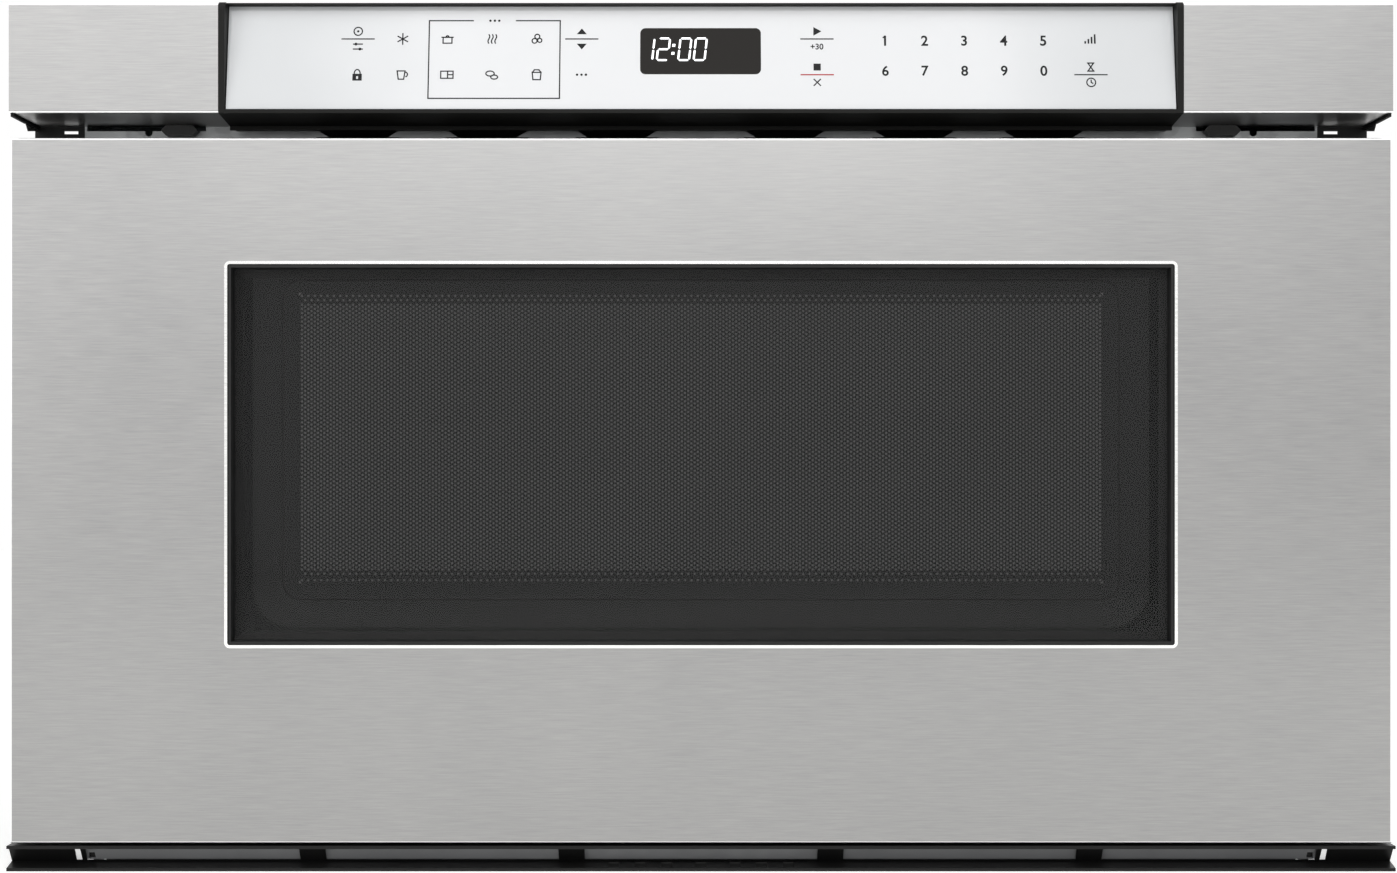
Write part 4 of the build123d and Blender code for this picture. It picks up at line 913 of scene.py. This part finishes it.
@dataclass
class Print:
    """One ink on a leaning face: marks turned into flat ribbons and patches."""

    face: LeaningFace
    line_width: float
    lift: float = 0.03 * MM
    boldness: float = 0.021
    shape: Shape = field(default_factory=Shape)

    def mark(self, mark: Mark, centre: Point2, size: float) -> None:
        """Draws one mark.

        Args:
            mark: The mark, in its sign's square.
            centre: Where the square's middle goes on the face.
            size: The square's side.
        """
        path = np.array(centre) + size * mark.path()
        if isinstance(mark, Blot):
            self.shape.add(self.face.place(path, self.lift), [range(len(path))])
            return
        self.ribbon(path, mark.closed)

    def ribbon(self, path: np.ndarray, closed: bool) -> None:
        """Draws a line of even width: each point goes half a width to both sides.

        The way to a side is the mean of the two runs' normals, stretched by the turn.

        Args:
            path: The line's points across and up the face.
            closed: Whether the last joins the first.
        """
        after = np.roll(path, -1, axis=0) - path
        after /= np.linalg.norm(after, axis=1)[:, None]
        before = np.roll(after, 1, axis=0)
        if not closed:
            after[-1] = after[-2]
            before[0] = after[0]
        normal = np.stack([-(after + before)[:, 1], (after + before)[:, 0]], axis=1)
        normal /= (1 + (after * before).sum(axis=1))[:, None]
        side = normal * self.line_width / 2
        both = np.concatenate([path - side, path + side])
        faces = grid_faces(2, len(path), wrap=closed)
        self.shape.add(self.face.place(both, self.lift), faces)

    def sign(self, sign: Sign, centre: Point2, size: float) -> None:
        """Draws a whole sign round its middle."""
        for mark in sign.value:
            self.mark(mark, centre, size)

    def rule(self, centre: Point2, length: float) -> None:
        """Draws a straight level line."""
        x, z = centre
        self.ribbon(np.array([(x - length / 2, z), (x + length / 2, z)]), False)

    def text(self, body: str, centre: Point2, height: float) -> None:
        """Sets plain figures, made a mesh before they are laid on the face.

        Args:
            body: The figures.
            centre: Their middle on the face.
            height: The figures' height.
        """
        curve = bpy.data.curves.new("figures", "FONT")
        curve.body = body
        curve.offset = self.boldness
        setter = placed("figures", curve)
        bpy.context.view_layer.update()
        laid = setter.evaluated_get(bpy.context.evaluated_depsgraph_get())
        mesh = bpy.data.meshes.new_from_object(laid)
        flat = mesh_points(mesh)[:, :2]
        low, high = flat.min(axis=0), flat.max(axis=0)
        flat = (flat - (low + high) / 2) * height / (high - low)[1] + centre
        faces = [tuple(face.vertices) for face in mesh.polygons]
        self.shape.add(self.face.place(flat, self.lift), faces)
        bpy.data.objects.remove(setter)
        bpy.data.curves.remove(curve)
        bpy.data.meshes.remove(mesh)


# ------------------------------------------------------------------ sub-assemblies


@dataclass
class ControlPanel:
    """The leaning white glass between its black cheeks, its print and its clock."""

    figure_height: float = 4.7 * MM
    sign_size: float = 5.4 * MM
    pair_size: float = 4.4 * MM
    pair_gap: float = 3.5 * MM
    added_share: float = 0.62
    line_width: float = 0.55 * MM
    rule_length: float = 14.6 * MM
    high_row: float = 32.0 * MM
    low_row: float = 15.6 * MM
    figure_rows: Point2 = (31.2 * MM, 17.4 * MM)
    first_figure: float = 80.8 * MM
    figure_pitch: float = 17.35 * MM
    flag: Point2 = (1.0 * MM, 0.8 * MM)
    first_sign: float = -150.6 * MM
    sign_pitch: float = 19.65 * MM
    start_column: float = 50.9 * MM
    power_column: float = 170.8 * MM
    box_low: Point2 = (-119.4 * MM, 4.8 * MM)
    box_high: Point2 = (-61.9 * MM, 40.4 * MM)
    box_gap: float = 18.5 * MM

    def build(self) -> None:
        """Dresses the housing and lays the print on the glass."""
        dress(HOUSING, "control_housing")
        dress(WHITE_GLASS, "control_glass")
        dress(DISPLAY, "display_lens")
        face = LeaningFace.of("control_glass")
        black = Print(face, self.line_width)
        self.figures(black)
        self.programme_signs(black)
        self.programme_box(black)
        self.pair(black, Sign.START, self.start_column, self.high_row)
        added = (self.start_column, self.high_row - self.pair_gap)
        black.text("+30", added, self.pair_size * self.added_share)
        for sign, way in ((Sign.STOP, 1), (Sign.CLEAR, -1)):
            centre = (self.start_column, self.low_row + way * self.pair_gap)
            black.sign(sign, centre, self.pair_size)
        black.sign(Sign.POWER, (self.power_column, self.high_row), self.sign_size)
        self.pair(black, Sign.TIMER, self.power_column, self.low_row, Sign.CLOCK)
        black.shape.piece("panel_print", "chassis", INK)
        red = Print(face, self.line_width)
        red.rule((self.start_column, self.low_row), self.rule_length)
        red.shape.piece("panel_print_red", "chassis", RED_INK)
        Clock(face).build()

    def figures(self, ink: Print) -> None:
        """Sets the ten figures in two rows of five, with a flag on the head of the 1.

        Args:
            ink: The print.
        """
        for place, figure in enumerate("1234567890"):
            row, column = divmod(place, 5)
            centre = (self.first_figure + column * self.figure_pitch, self.figure_rows[row])
            ink.text(figure, centre, self.figure_height)
            if figure == "1":
                head = np.array(centre) + (0, (self.figure_height - self.line_width) / 2)
                ink.ribbon(np.array([head, head - self.flag]), False)

    def pair(
        self, ink: Print, upper: Sign, column: float, row: float, lower: Sign | None = None
    ) -> None:
        """Draws one sign over a rule, and another under it.

        Args:
            ink: The print.
            upper: The sign above.
            column: Their middle across the face.
            row: The rule's height.
            lower: The sign below, or none.
        """
        ink.sign(upper, (column, row + self.pair_gap), self.pair_size)
        ink.rule((column, row), self.rule_length)
        if lower:
            ink.sign(lower, (column, row - self.pair_gap), self.pair_size)

    def programme_signs(self, ink: Print) -> None:
        """Draws the two rows of programme signs on the left of the clock.

        Args:
            ink: The print.
        """
        columns = [self.first_sign + k * self.sign_pitch for k in range(6)]
        self.pair(ink, Sign.ASK, columns[0], self.high_row, Sign.ADJUST)
        high = (Sign.FROST, Sign.POT, Sign.STEAM, Sign.KERNELS)
        for column, sign in zip(columns[1:5], high, strict=True):
            ink.sign(sign, (column, self.high_row), self.sign_size)
        self.pair(ink, Sign.OPEN, columns[5], self.high_row, Sign.SHUT)
        low = (Sign.LOCK, Sign.CUP, Sign.TRAY, Sign.ROOTS, Sign.BAG, Sign.MORE)
        for column, sign in zip(columns, low, strict=True):
            ink.sign(sign, (column, self.low_row), self.sign_size)

    def programme_box(self, ink: Print) -> None:
        """Draws the box round six of the signs, with a sign in the gap of its top.

        Args:
            ink: The print.
        """
        left, low = self.box_low
        right, high = self.box_high
        middle = (left + right) / 2
        gap = self.box_gap / 2
        outline = [(middle - gap, high), (left, high), (left, low)]
        outline += [(right, low), (right, high), (middle + gap, high)]
        ink.ribbon(np.array(outline), False)
        ink.sign(Sign.MORE, (middle, high), self.sign_size)


SEGMENTS = {
    "a": ((0, 2), (1, 2)),
    "b": ((1, 2), (1, 1)),
    "c": ((1, 1), (1, 0)),
    "d": ((0, 0), (1, 0)),
    "e": ((0, 1), (0, 0)),
    "f": ((0, 2), (0, 1)),
    "g": ((0, 1), (1, 1)),
}
LIT_SEGMENTS = {"0": "abcdef", "1": "bc", "2": "abged"}


@dataclass
class Clock:
    """The readout behind the display's lens: seven slanted segments to a figure."""

    face: LeaningFace
    reading: str = "12:00"
    left: float = -26.2 * MM
    foot: float = 22.3 * MM
    figure_width: float = 4.8 * MM
    figure_height: float = 9.95 * MM
    figure_pitch: float = 6.78 * MM
    colon_pitch: float = 2.6 * MM
    segment_width: float = 0.85 * MM
    segment_gap: float = 0.2 * MM
    dot_half: float = 0.6375 * MM
    dot_shares: Point2 = (0.31, 0.68)
    slant: float = 6.0
    lift: float = 0.04 * MM

    def build(self) -> None:
        """Draws every lit segment and the colon's two dots."""
        shape = Shape()
        left = self.left
        for sign in self.reading:
            if sign == ":":
                self.dots(shape, left)
                left += self.colon_pitch
                continue
            for name in LIT_SEGMENTS[sign]:
                self.segment(shape, left, *SEGMENTS[name])
            left += self.figure_pitch
        shape.piece("clock_readout", "chassis", LIT)

    def lean(self, flat: np.ndarray, left: float) -> np.ndarray:
        """Slants points and lays them on the face, x + z tan(slant)."""
        x = left + flat[:, 0] + flat[:, 1] * math.tan(math.radians(self.slant))
        return self.face.place(np.stack([x, self.foot + flat[:, 1]], axis=1), self.lift)

    def segment(self, shape: Shape, left: float, start: Point2, end: Point2) -> None:
        """Draws one bar with pointed ends, a little short of its neighbours.

        Args:
            shape: What takes the bar.
            left: The figure's left edge.
            start: One end, in figure widths and half heights.
            end: The other end.
        """
        unit = np.array((self.figure_width, self.figure_height / 2))
        a, b = np.array(start) * unit, np.array(end) * unit
        along = (b - a) / np.linalg.norm(b - a)
        side = np.array((-along[1], along[0])) * self.segment_width / 2
        a, b = a + along * self.segment_gap, b - along * self.segment_gap
        inset = along * self.segment_width / 2
        bar = [a, a + inset - side, b - inset - side, b, b - inset + side, a + inset + side]
        shape.add(self.lean(np.array(bar), left), [range(6)])

    def dots(self, shape: Shape, left: float) -> None:
        """Draws the colon: two square dots, at about a third and two thirds of the height.

        Args:
            shape: What takes the dots.
            left: The colon's middle before it leans.
        """
        half = self.dot_half
        square = oblong(-half, -half, half, half).path()
        for share in self.dot_shares:
            middle = np.array((0.0, self.figure_height * share))
            shape.add(self.lean(square + middle, left), [range(4)])


def rounded_ring(
    half_width: float, half_height: float, radius: float, steps: int = 8
) -> np.ndarray:
    """Points round a rectangle with rounded corners, the same number for any size.

    Each corner is a quarter turn: corner centre + radius (cos a, sin a).

    Args:
        half_width: Half its width.
        half_height: Half its height.
        radius: Its corners' radius.
        steps: Steps in each quarter turn.

    Returns:
        The points, one row each, anticlockwise.
    """
    turn = np.radians(np.linspace(0, 90, steps + 1) + 90 * np.arange(4)[:, None])
    signs = np.array([(1, 1), (-1, 1), (-1, -1), (1, -1)])
    centres = signs * (half_width - radius, half_height - radius)
    ring = centres[:, None, :] + radius * np.stack([np.cos(turn), np.sin(turn)], axis=-1)
    return ring.reshape(-1, 2)


@dataclass
class Window:
    """The smoked pane with the enamelled, perforated sheet that keeps the waves in."""

    node: str = "window_screen"
    hole_pitch: float = 2.81 * MM
    row_pitch: float = 0.925 * MM
    hole_radius: float = 0.58 * MM
    columns: int = 252
    rows: int = 132
    foot_steps: tuple[float, ...] = (1.4 * MM, 2.84 * MM, 1.87 * MM)
    head_steps: tuple[float, ...] = (2.0 * MM, 1.87 * MM, 1.4 * MM)
    emboss: float = 0.8 * MM
    emboss_run: float = 0.46 * MM
    emboss_half: Point2 = (183.8 * MM, 69.95 * MM)
    emboss_corner: float = 7.6 * MM
    emboss_rise: float = 6.45 * MM
    field_rise: float = 0.92 * MM
    film_gap: float = 0.06 * MM
    film_inset: float = 1.6 * MM
    print_side: float = 7.9 * MM
    print_foot: float = 5.6 * MM
    print_corner: float = 17.5 * MM
    print_gap: float = 0.03 * MM

    def build(self) -> None:
        """Dresses the pane and its rims, and makes the sheets and the film between."""
        dress(POLISHED, "window_trim")
        dress(BEZEL, "window_bezel")
        dress(WINDOW_GLASS, "window_glass")
        self.border().piece("pane_print", "drawer", WINDOW_PRINT)
        low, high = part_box(self.node)
        centre_z = (low.z + high.z) / 2 + self.emboss_rise
        front = self.sheet(low, high, centre_z)
        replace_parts(front.piece("perforated_sheet", "drawer", SCREEN, "black_screen"), self.node)
        back = Shape()
        self.holes(back, high.y, centre_z + self.field_rise, 1)
        back.band([self.field_ring(), self.opening_ring()], [high.y] * 2, (0, centre_z), 1)
        back.piece("perforated_lining", "drawer", SCREEN, "black_screen")
        self.film(low.y + self.film_gap, high.y - self.film_gap, centre_z)

    def border(self) -> Shape:
        """Makes the print on the pane's back: all round a window with two round corners.

        Returns:
            The print's surface.
        """
        low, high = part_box("window_glass")
        middle = (low + high) / 2
        half_x, half_z = (high.x - low.x) / 2, (high.z - low.z) / 2
        window = rounded_ring(half_x - self.print_side, half_z, self.print_corner)
        window[:, 1] = np.where(window[:, 1] > 0, half_z, window[:, 1] + self.print_foot)
        shape = Shape()
        rings = [window, rounded_ring(half_x, half_z, SHARP)]
        shape.band(rings, [high.y + self.print_gap] * 2, (0, middle.z))
        return shape

    def heights(self) -> np.ndarray:
        """Gives the rows' heights over the field's middle; the outer ones stand wider apart.

        Returns:
            One height for each line of the grid, from the lowest.
        """
        plain = self.rows - len(self.foot_steps) - len(self.head_steps)
        steps = [*self.foot_steps, *[self.row_pitch] * plain, *self.head_steps]
        rise = np.concatenate([[0.0], np.cumsum(steps)])
        return rise - rise[-1] / 2

    def field_ring(self) -> np.ndarray:
        """Gives the outline of the perforated field, round the emboss's middle."""
        half = (self.columns * self.hole_pitch / 4, self.heights()[-1])
        return rounded_ring(*half, SHARP) + (0, self.field_rise)

    def opening_ring(self) -> np.ndarray:
        """Gives the outline that covers the opening in the door's frame."""
        return rounded_ring(*self.emboss_half, self.emboss_corner)

    def sheet(self, low: Vector, high: Vector, centre_z: float) -> Shape:
        """Makes the front sheet: the holed field, the embossed land round it and the rim.

        Args:
            low: The node's lowest corner, whose y is the embossed face.
            high: Its highest corner.
            centre_z: The height of the emboss's middle.

        Returns:
            The sheet's surfaces.
        """
        shape = Shape()
        self.holes(shape, low.y, centre_z + self.field_rise, -1)
        run = self.emboss_run
        foot = rounded_ring(*(np.array(self.emboss_half) + run), self.emboss_corner + run)
        outer = rounded_ring((high.x - low.x) / 2, (high.z - low.z) / 2, SHARP)
        outer -= (0, self.emboss_rise)
        rings = [self.field_ring(), self.opening_ring(), foot, outer]
        depths = [low.y, low.y, low.y + self.emboss, low.y + self.emboss]
        shape.band(rings, depths, (0, centre_z))
        return shape

    def holes(self, shape: Shape, y: float, centre_z: float, facing: int) -> None:
        """Makes the holed field as diamonds that meet, with a six-sided hole in each.

        The holes stand where column + row is even on a grid of half pitches. The odd
        points are the diamonds' corners. On the field's edge a half diamond stays closed.

        Args:
            shape: What takes the field.
            y: The field's depth.
            centre_z: The height of its middle.
            facing: -1 for a front that faces -Y, 1 for a back.
        """
        across = self.hole_pitch / 2
        counts = (np.arange(self.columns + 1), np.arange(self.rows + 1))
        column, row = np.meshgrid(*counts, indexing="ij")
        x = (column - self.columns / 2) * across
        z = centre_z + self.heights()[row]
        grid = np.stack([x, np.full_like(x, y), z], axis=-1).reshape(-1, 3)
        number = column * (self.rows + 1) + row
        even = (column + row) % 2 == 0
        holed = even & (column % self.columns > 0) & (row % self.rows > 0)
        middles = grid[number[holed]]
        turn = np.radians(60 * np.arange(6))
        rim = np.stack([np.cos(turn), 0 * turn, np.sin(turn)], axis=1) * self.hole_radius
        points = np.concatenate([grid, (middles[:, None] + rim).reshape(-1, 3)])
        hole = len(grid) + 6 * np.arange(len(middles))[:, None] + np.arange(6)
        step = np.array([self.rows + 1, 1, -self.rows - 1, -1])
        right, top, left, foot = (number[holed][:, None] + step).T
        quads = [
            [right, top, hole[:, 1], hole[:, 0]],
            [top, left, hole[:, 3], hole[:, 2]],
            [left, foot, hole[:, 4], hole[:, 3]],
            [foot, right, hole[:, 0], hole[:, 5]],
        ]
        thirds = [[top, hole[:, 2], hole[:, 1]], [foot, hole[:, 5], hole[:, 4]]]
        thirds += self.edge_thirds(number, even)
        faces = [face for part in quads + thirds for face in np.stack(part, axis=1).tolist()]
        used, again = np.unique(np.concatenate(faces), return_inverse=True)
        ends = np.cumsum([len(face) for face in faces])
        faces = np.split(again, ends[:-1])
        shape.add(points[used], faces if facing < 0 else [face[::-1] for face in faces])

    def edge_thirds(self, number: np.ndarray, even: np.ndarray) -> list[list[np.ndarray]]:
        """Gives the closed half diamonds along the field's four edges.

        Args:
            number: The grid's point numbers, by column and row.
            even: Which points are the middle of a diamond.

        Returns:
            For each edge the three corners of its triangles, as three rows of numbers.
        """
        thirds = []
        for line, inner, ahead in (
            (number[0], number[1], even[0]),
            (number[-1][::-1], number[-2][::-1], even[-1][::-1]),
            (number[:, -1], number[:, -2], even[:, -1]),
            (number[::-1, 0], number[::-1, 1], even[::-1, 0]),
        ):
            at = np.flatnonzero(ahead[1:-1]) + 1
            thirds.append([line[at + 1], line[at - 1], inner[at]])
        return thirds

    def film(self, near: float, far: float, centre_z: float) -> None:
        """Makes the grey film between the two perforated sheets; its grey is painted light,
        standing in for the lit cavity seen through the holes.

        Args:
            near: The y of its front.
            far: The y of its back.
            centre_z: The height of its middle.
        """
        ring = rounded_ring(*(np.array(self.emboss_half) - self.film_inset), self.emboss_corner)
        shape = Shape()
        shape.band([ring, ring], [near, far], (0, centre_z), 1)
        count = len(ring)
        shape.faces += [list(range(count))[::-1], list(range(count, shape.count))]
        shape.piece("screen_film", "drawer", PAINTED_LIGHT_FILM, "black_screen")


@dataclass
class DrawerBody:
    """The stainless front, its frame and choke, and the tray that comes out with it."""

    def build(self) -> None:
        """Dresses the drawer's nodes."""
        dress(STAINLESS, "drawer_skin")
        dress(GALVANISED, "door_frame", "choke_ring", "rail_arm_left", "rail_arm_right")
        dress(BLACK_PLASTIC, "choke_cover")
        dress(CAVITY, "tray_walls", "tray_base")
        dress(CERAMIC, "ceramic_plate")
        dress(WHITE_PLASTIC, "latch_hooks")


@dataclass
class Rails:
    """The telescopic rails and the rack drive between them."""

    def build(self) -> None:
        """Dresses the rails, the rack and the pinion's drive."""
        for part in ("outer", "middle", "inner"):
            dress(RAIL, f"{part}_rail_left", f"{part}_rail_right")
        dress(WHITE_PLASTIC, "drive_rack", "drive_pinion", "drive_gearbox")
        dress(MOTOR, "drive_motor")
        dress(GALVANISED, "pinion_bearing")


@dataclass
class Works:
    """What makes the waves and the air move behind and over the cavity."""

    def build(self) -> None:
        """Dresses the works' nodes."""
        dress(CAVITY, "cavity_shell")
        dress(MICA, "waveguide_cover")
        dress(GALVANISED, "waveguide", "exhaust_duct", "interlock_brackets")
        dress(BLACK_PLASTIC, "fan_shroud", "fan_impeller", "interlock_switches", "cavity_lamp")
        dress(MOTOR, "fan_motor", "stirrer_motor")
        dress(MAGNETRON, "magnetron")
        dress(CORE, "transformer")
        dress(CAN, "capacitor", "stirrer_fan")
        dress(BOARD, "control_board", "noise_filter_board")


@dataclass
class ScrewHead:
    """A pan head with a cross recess, as a surface of radius and turn.

    Its height is the dome H sqrt(1 - bulge (r / R)^2), less a pit along the cross.
    """

    radius: float = 3.4 * MM
    height: float = 1.5 * MM
    bulge: float = 0.8
    innermost: float = 0.02
    cross_half_width: float = 0.55 * MM
    cross_reach: float = 0.62
    pit: float = 0.9 * MM
    rings: int = 7
    turns: int = 24

    def surface(self, centre: Sequence[float], out: Sequence[float]) -> np.ndarray:
        """Works out the head's points.

        Args:
            centre: The middle of its seat.
            out: The way that it faces, along an axis.

        Returns:
            The points, ring by ring.
        """
        out_way = np.array(out, float)
        side = np.roll(out_way, 1)
        up = np.cross(out_way, side)
        share = np.linspace(1, self.innermost, self.rings)[:, None]
        turn = np.linspace(0, 2 * math.pi, self.turns, endpoint=False)
        x, z = self.radius * share * np.cos(turn), self.radius * share * np.sin(turn)
        rise = self.height * np.sqrt(1 - self.bulge * share**2) + 0 * turn
        near = np.minimum(np.abs(x), np.abs(z)) < self.cross_half_width
        rise -= self.pit * (near & (share < self.cross_reach))
        rise[0] = 0
        points = x[..., None] * side + z[..., None] * up + rise[..., None] * out_way
        return np.array(centre) + points.reshape(-1, 3)

    def add_to(self, shape: Shape, centre: Sequence[float], out: Sequence[float]) -> None:
        """Adds one head, closed at its middle, to a shape.

        Args:
            shape: What takes the head.
            centre: The middle of its seat.
            out: The way that it faces, along an axis.
        """
        points = self.surface(centre, out)
        faces = grid_faces(self.rings, self.turns, wrap=True).tolist()
        faces.append(list(range(len(points) - self.turns, len(points))))
        shape.add(points, faces)


@dataclass(frozen=True)
class Filling:
    """A block behind the grille, its middle measured from the grille's front edge."""

    name: str
    finish: Finish
    middle_mm: Point3
    reach_mm: Point3
    ways: tuple[int, ...] = (-1, 1)


@dataclass
class Casing:
    """The galvanised body, its black flanges and grille, and the stainless fillers."""

    screw: ScrewHead = field(default_factory=ScrewHead)
    edge_inset: float = 7.0 * MM
    front_inset: float = 28.0 * MM
    screw_spacing: float = 95.0 * MM
    gasket_inset: float = 0.6 * MM
    gasket_half: Point2 = (0.75 * MM, 0.75 * MM)
    plug_x: float = 235.5 * MM
    plug_half: Point2 = (8.1 * MM, 2.3 * MM)
    plug_depth: float = 5.4 * MM
    plug_drop: float = 0.1 * MM
    plug_rounding: float = 0.9
    foot_depth: float = 2.0 * MM
    fillings: tuple[Filling, ...] = (
        Filling("grille_strip_returns", GRILLE_STRIP, (271.0, 9.4, 6.5), (1.4, 0.4, 2.6)),
        Filling("grille_end_blocks", BLACK_SHEET, (268.2, 11.4, 5.9), (2.6, 0.6, 1.8)),
        # A black sheet that paints shade: it hides the lit floor seen under the grille's valley.
        Filling("grille_foot_painted_shade", BLACK_SHEET, (0.0, 10.1, 2.0), (262.0, 0.5, 1.78), (1,)),
    )

    def build(self) -> None:
        """Dresses the casing and sets the screws that hold its covers."""
        dress(STAINLESS, "trim_filler_left", "trim_filler_right")
        dress(BLACK_SHEET, "base_grille", "mounting_flange_left", "mounting_flange_right")
        dress(FRONT_STEEL, "front_plate")
        dress(GRILLE_STRIP, "grille_brackets")
        dress(GALVANISED, "base_pan", "side_panel_left", "side_panel_right")
        dress(GALVANISED, "top_cover", "back_panel")
        dress(BLACK_PLASTIC, "feet", "cord_bushing")
        dress(RAIL, "flange_screws")
        self.side_screws()
        self.fill_grille()
        for side, way in SIDES:
            self.gasket(side, way)
            self.plug(side, way)

    def spaced(self, low: float, high: float) -> np.ndarray:
        """Spreads screws evenly between two ends, about a spacing apart."""
        count = max(2, round((high - low) / self.screw_spacing) + 1)
        return np.linspace(low, high, count)

    def filler_foot(self, side: str) -> float:
        """Gives the height of a filler's lower front edge."""
        points = mesh_points(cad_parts[f"trim_filler_{side}"].data)
        return float(points[points[:, 1] < points[:, 1].min() + self.foot_depth, 2].min())

    def fill_grille(self) -> None:
        """Fills in behind the grille: its strip's returns, end blocks and a black curtain below,
        which paints the shade under the grille.
        """
        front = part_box("base_grille")[0].y
        for filling in self.fillings:
            x, y, z = np.array(filling.middle_mm) * MM
            shape = Shape()
            for way in filling.ways:
                shape.block((way * x, front + y, z), np.array(filling.reach_mm) * MM)
            shape.piece(filling.name, "chassis", filling.finish)

    def gasket(self, side: str, way: int) -> None:
        """Lays the foam strip under a filler's outer edge, from front to back.

        Args:
            side: The filler's side, as its node's name says it.
            way: The side's sign along X.
        """
        low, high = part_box(f"trim_filler_{side}")
        outer = (high.x if way > 0 else low.x) - way * self.gasket_inset
        half_x, half_z = self.gasket_half
        foot = self.filler_foot(side)
        middle = (outer - way * half_x, (low.y + high.y) / 2, foot - half_z)
        shape = Shape()
        shape.block(middle, (half_x, (high.y - low.y) / 2 - self.gasket_inset, half_z))
        shape.piece(f"filler_gasket_{side}", "chassis", GASKET)

    def plug(self, side: str, way: int) -> None:
        """Sets the plug in the front plate's slot under a filler, an oblong with cut corners.

        Args:
            side: The side, for the piece's name.
            way: The side's sign along X.
        """
        face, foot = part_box("front_plate")[0].y, self.filler_foot(side)
        half_x, half_z = self.plug_half
        ring = rounded_ring(half_x, half_z, half_z * self.plug_rounding, steps=1)
        centre = (way * self.plug_x, foot - self.plug_drop - half_z)
        shape = Shape()
        shape.band([ring, ring], [face, face - self.plug_depth], centre)
        shape.faces.append(list(range(len(ring), shape.count)))
        shape.piece(f"slot_plug_{side}", "chassis", BLACK_PLASTIC)

    def side_screws(self) -> None:
        """Sets the screws along each side panel's edges."""
        for side, way in SIDES:
            low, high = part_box(f"side_panel_{side}")
            face = high.x if way > 0 else low.x
            shape = Shape()
            for y in self.spaced(low.y + self.front_inset, high.y - self.edge_inset):
                for z in (low.z + self.edge_inset, high.z - self.edge_inset):
                    self.screw.add_to(shape, (face, y, z), (way, 0, 0))
            shape.piece(f"side_panel_screws_{side}", "chassis", RAIL, "rail_steel")


# ------------------------------------------------------------------ studio


@dataclass(frozen=True)
class Viewpoint:
    """Where the photograph was taken from, and its lens.

    The width and height of the photograph and its level line of sight are in its pixels.
    """

    distance: float = 0.9645
    eye_height: float = 0.1708
    width_px: int = 1397
    height_px: int = 873
    focal_px: float = 2210.0
    centre_x_px: float = 701.0
    horizon_px: float = 480.0
    sensor_mm: float = 36.0
    near_clip: float = 0.05

    def place(self) -> None:
        """Makes the camera, level and square to the front, and gives it to the scene."""
        lens = bpy.data.cameras.new("photograph")
        lens.sensor_fit = "HORIZONTAL"
        lens.sensor_width = self.sensor_mm
        lens.lens = self.sensor_mm * self.focal_px / self.width_px
        lens.shift_x = (self.width_px / 2 - self.centre_x_px) / self.width_px
        lens.shift_y = (self.horizon_px - self.height_px / 2) / self.width_px
        lens.clip_start = self.near_clip
        camera = placed("photograph", lens)
        camera.location = (0, cad_box[0].y - self.distance, self.eye_height)
        camera.rotation_euler = (math.pi / 2, 0, 0)
        bpy.context.scene.camera = camera


@dataclass(frozen=True)
class Softbox:
    """A square soft light aimed at the middle of the drawer."""

    name: str
    place: Point3
    side: float
    watts: float

    def hang(self, target: Vector) -> None:
        """Makes the light and turns it to its target.

        Args:
            target: What it shines at.
        """
        lamp = bpy.data.lights.new(self.name, "AREA")
        lamp.size = self.side
        lamp.energy = self.watts
        holder = placed(self.name, lamp)
        holder.location = self.place
        holder.rotation_euler = (target - Vector(self.place)).to_track_quat("-Z", "Y").to_euler()


@dataclass
class Studio:
    """A pale floor in an even white room, with soft lights above the front."""

    floor_half: float = 4.0
    room_light: float = 0.42
    lights: tuple[Softbox, ...] = (
        Softbox("softbox_top", (0.0, -1.2, 1.8), 1.2, 13.0),
        Softbox("softbox_front", (0.0, -2.4, 1.25), 1.4, 11.5),
        Softbox("softbox_low_left", (-1.6, -1.6, 0.7), 1.0, 6.4),
        Softbox("softbox_back", (0.6, 2.0, 1.9), 1.6, 14.0),
    )

    def build(self) -> None:
        """Lays the floor, lights the room and hangs the softboxes."""
        half = self.floor_half
        corners = np.array([(-half, -half, 0), (half, -half, 0), (half, half, 0), (-half, half, 0)])
        shape = Shape()
        shape.add(corners, [range(4)])
        floor = shape.made("floor", FLOOR)
        self.room()
        low, high = cad_box
        for light in self.lights:
            light.hang((low + high) / 2)
        bpy.context.scene.view_settings.view_transform = "Standard"

    def room(self) -> None:
        """Makes the world: its own light on matt surfaces, plain white where it is seen."""
        world = bpy.data.worlds.new("white_room")
        world.use_nodes = True
        world.node_tree.nodes.clear()
        nodes = Nodes(world.node_tree)
        seen = nodes.rays("Camera", "Glossy", "Transmission")
        light = {"Color": linear(WHITE), "Strength": nodes.spread(seen, end=(self.room_light, 1.0))}
        white = nodes.add("Background", light)
        nodes.add("OutputWorld", {"Surface": white.outputs[0]})
        bpy.context.scene.world = world


def main() -> None:
    """Builds the sub-assemblies in order, then the studio round them."""
    logging.basicConfig(level=logging.INFO, format="%(message)s")
    for assembly in (Casing(), ControlPanel(), Window(), DrawerBody(), Rails(), Works()):
        logging.info("-- %s", type(assembly).__name__)
        assembly.build()
    Studio().build()
    Viewpoint().place()


if __name__ == "__main__":
    main()
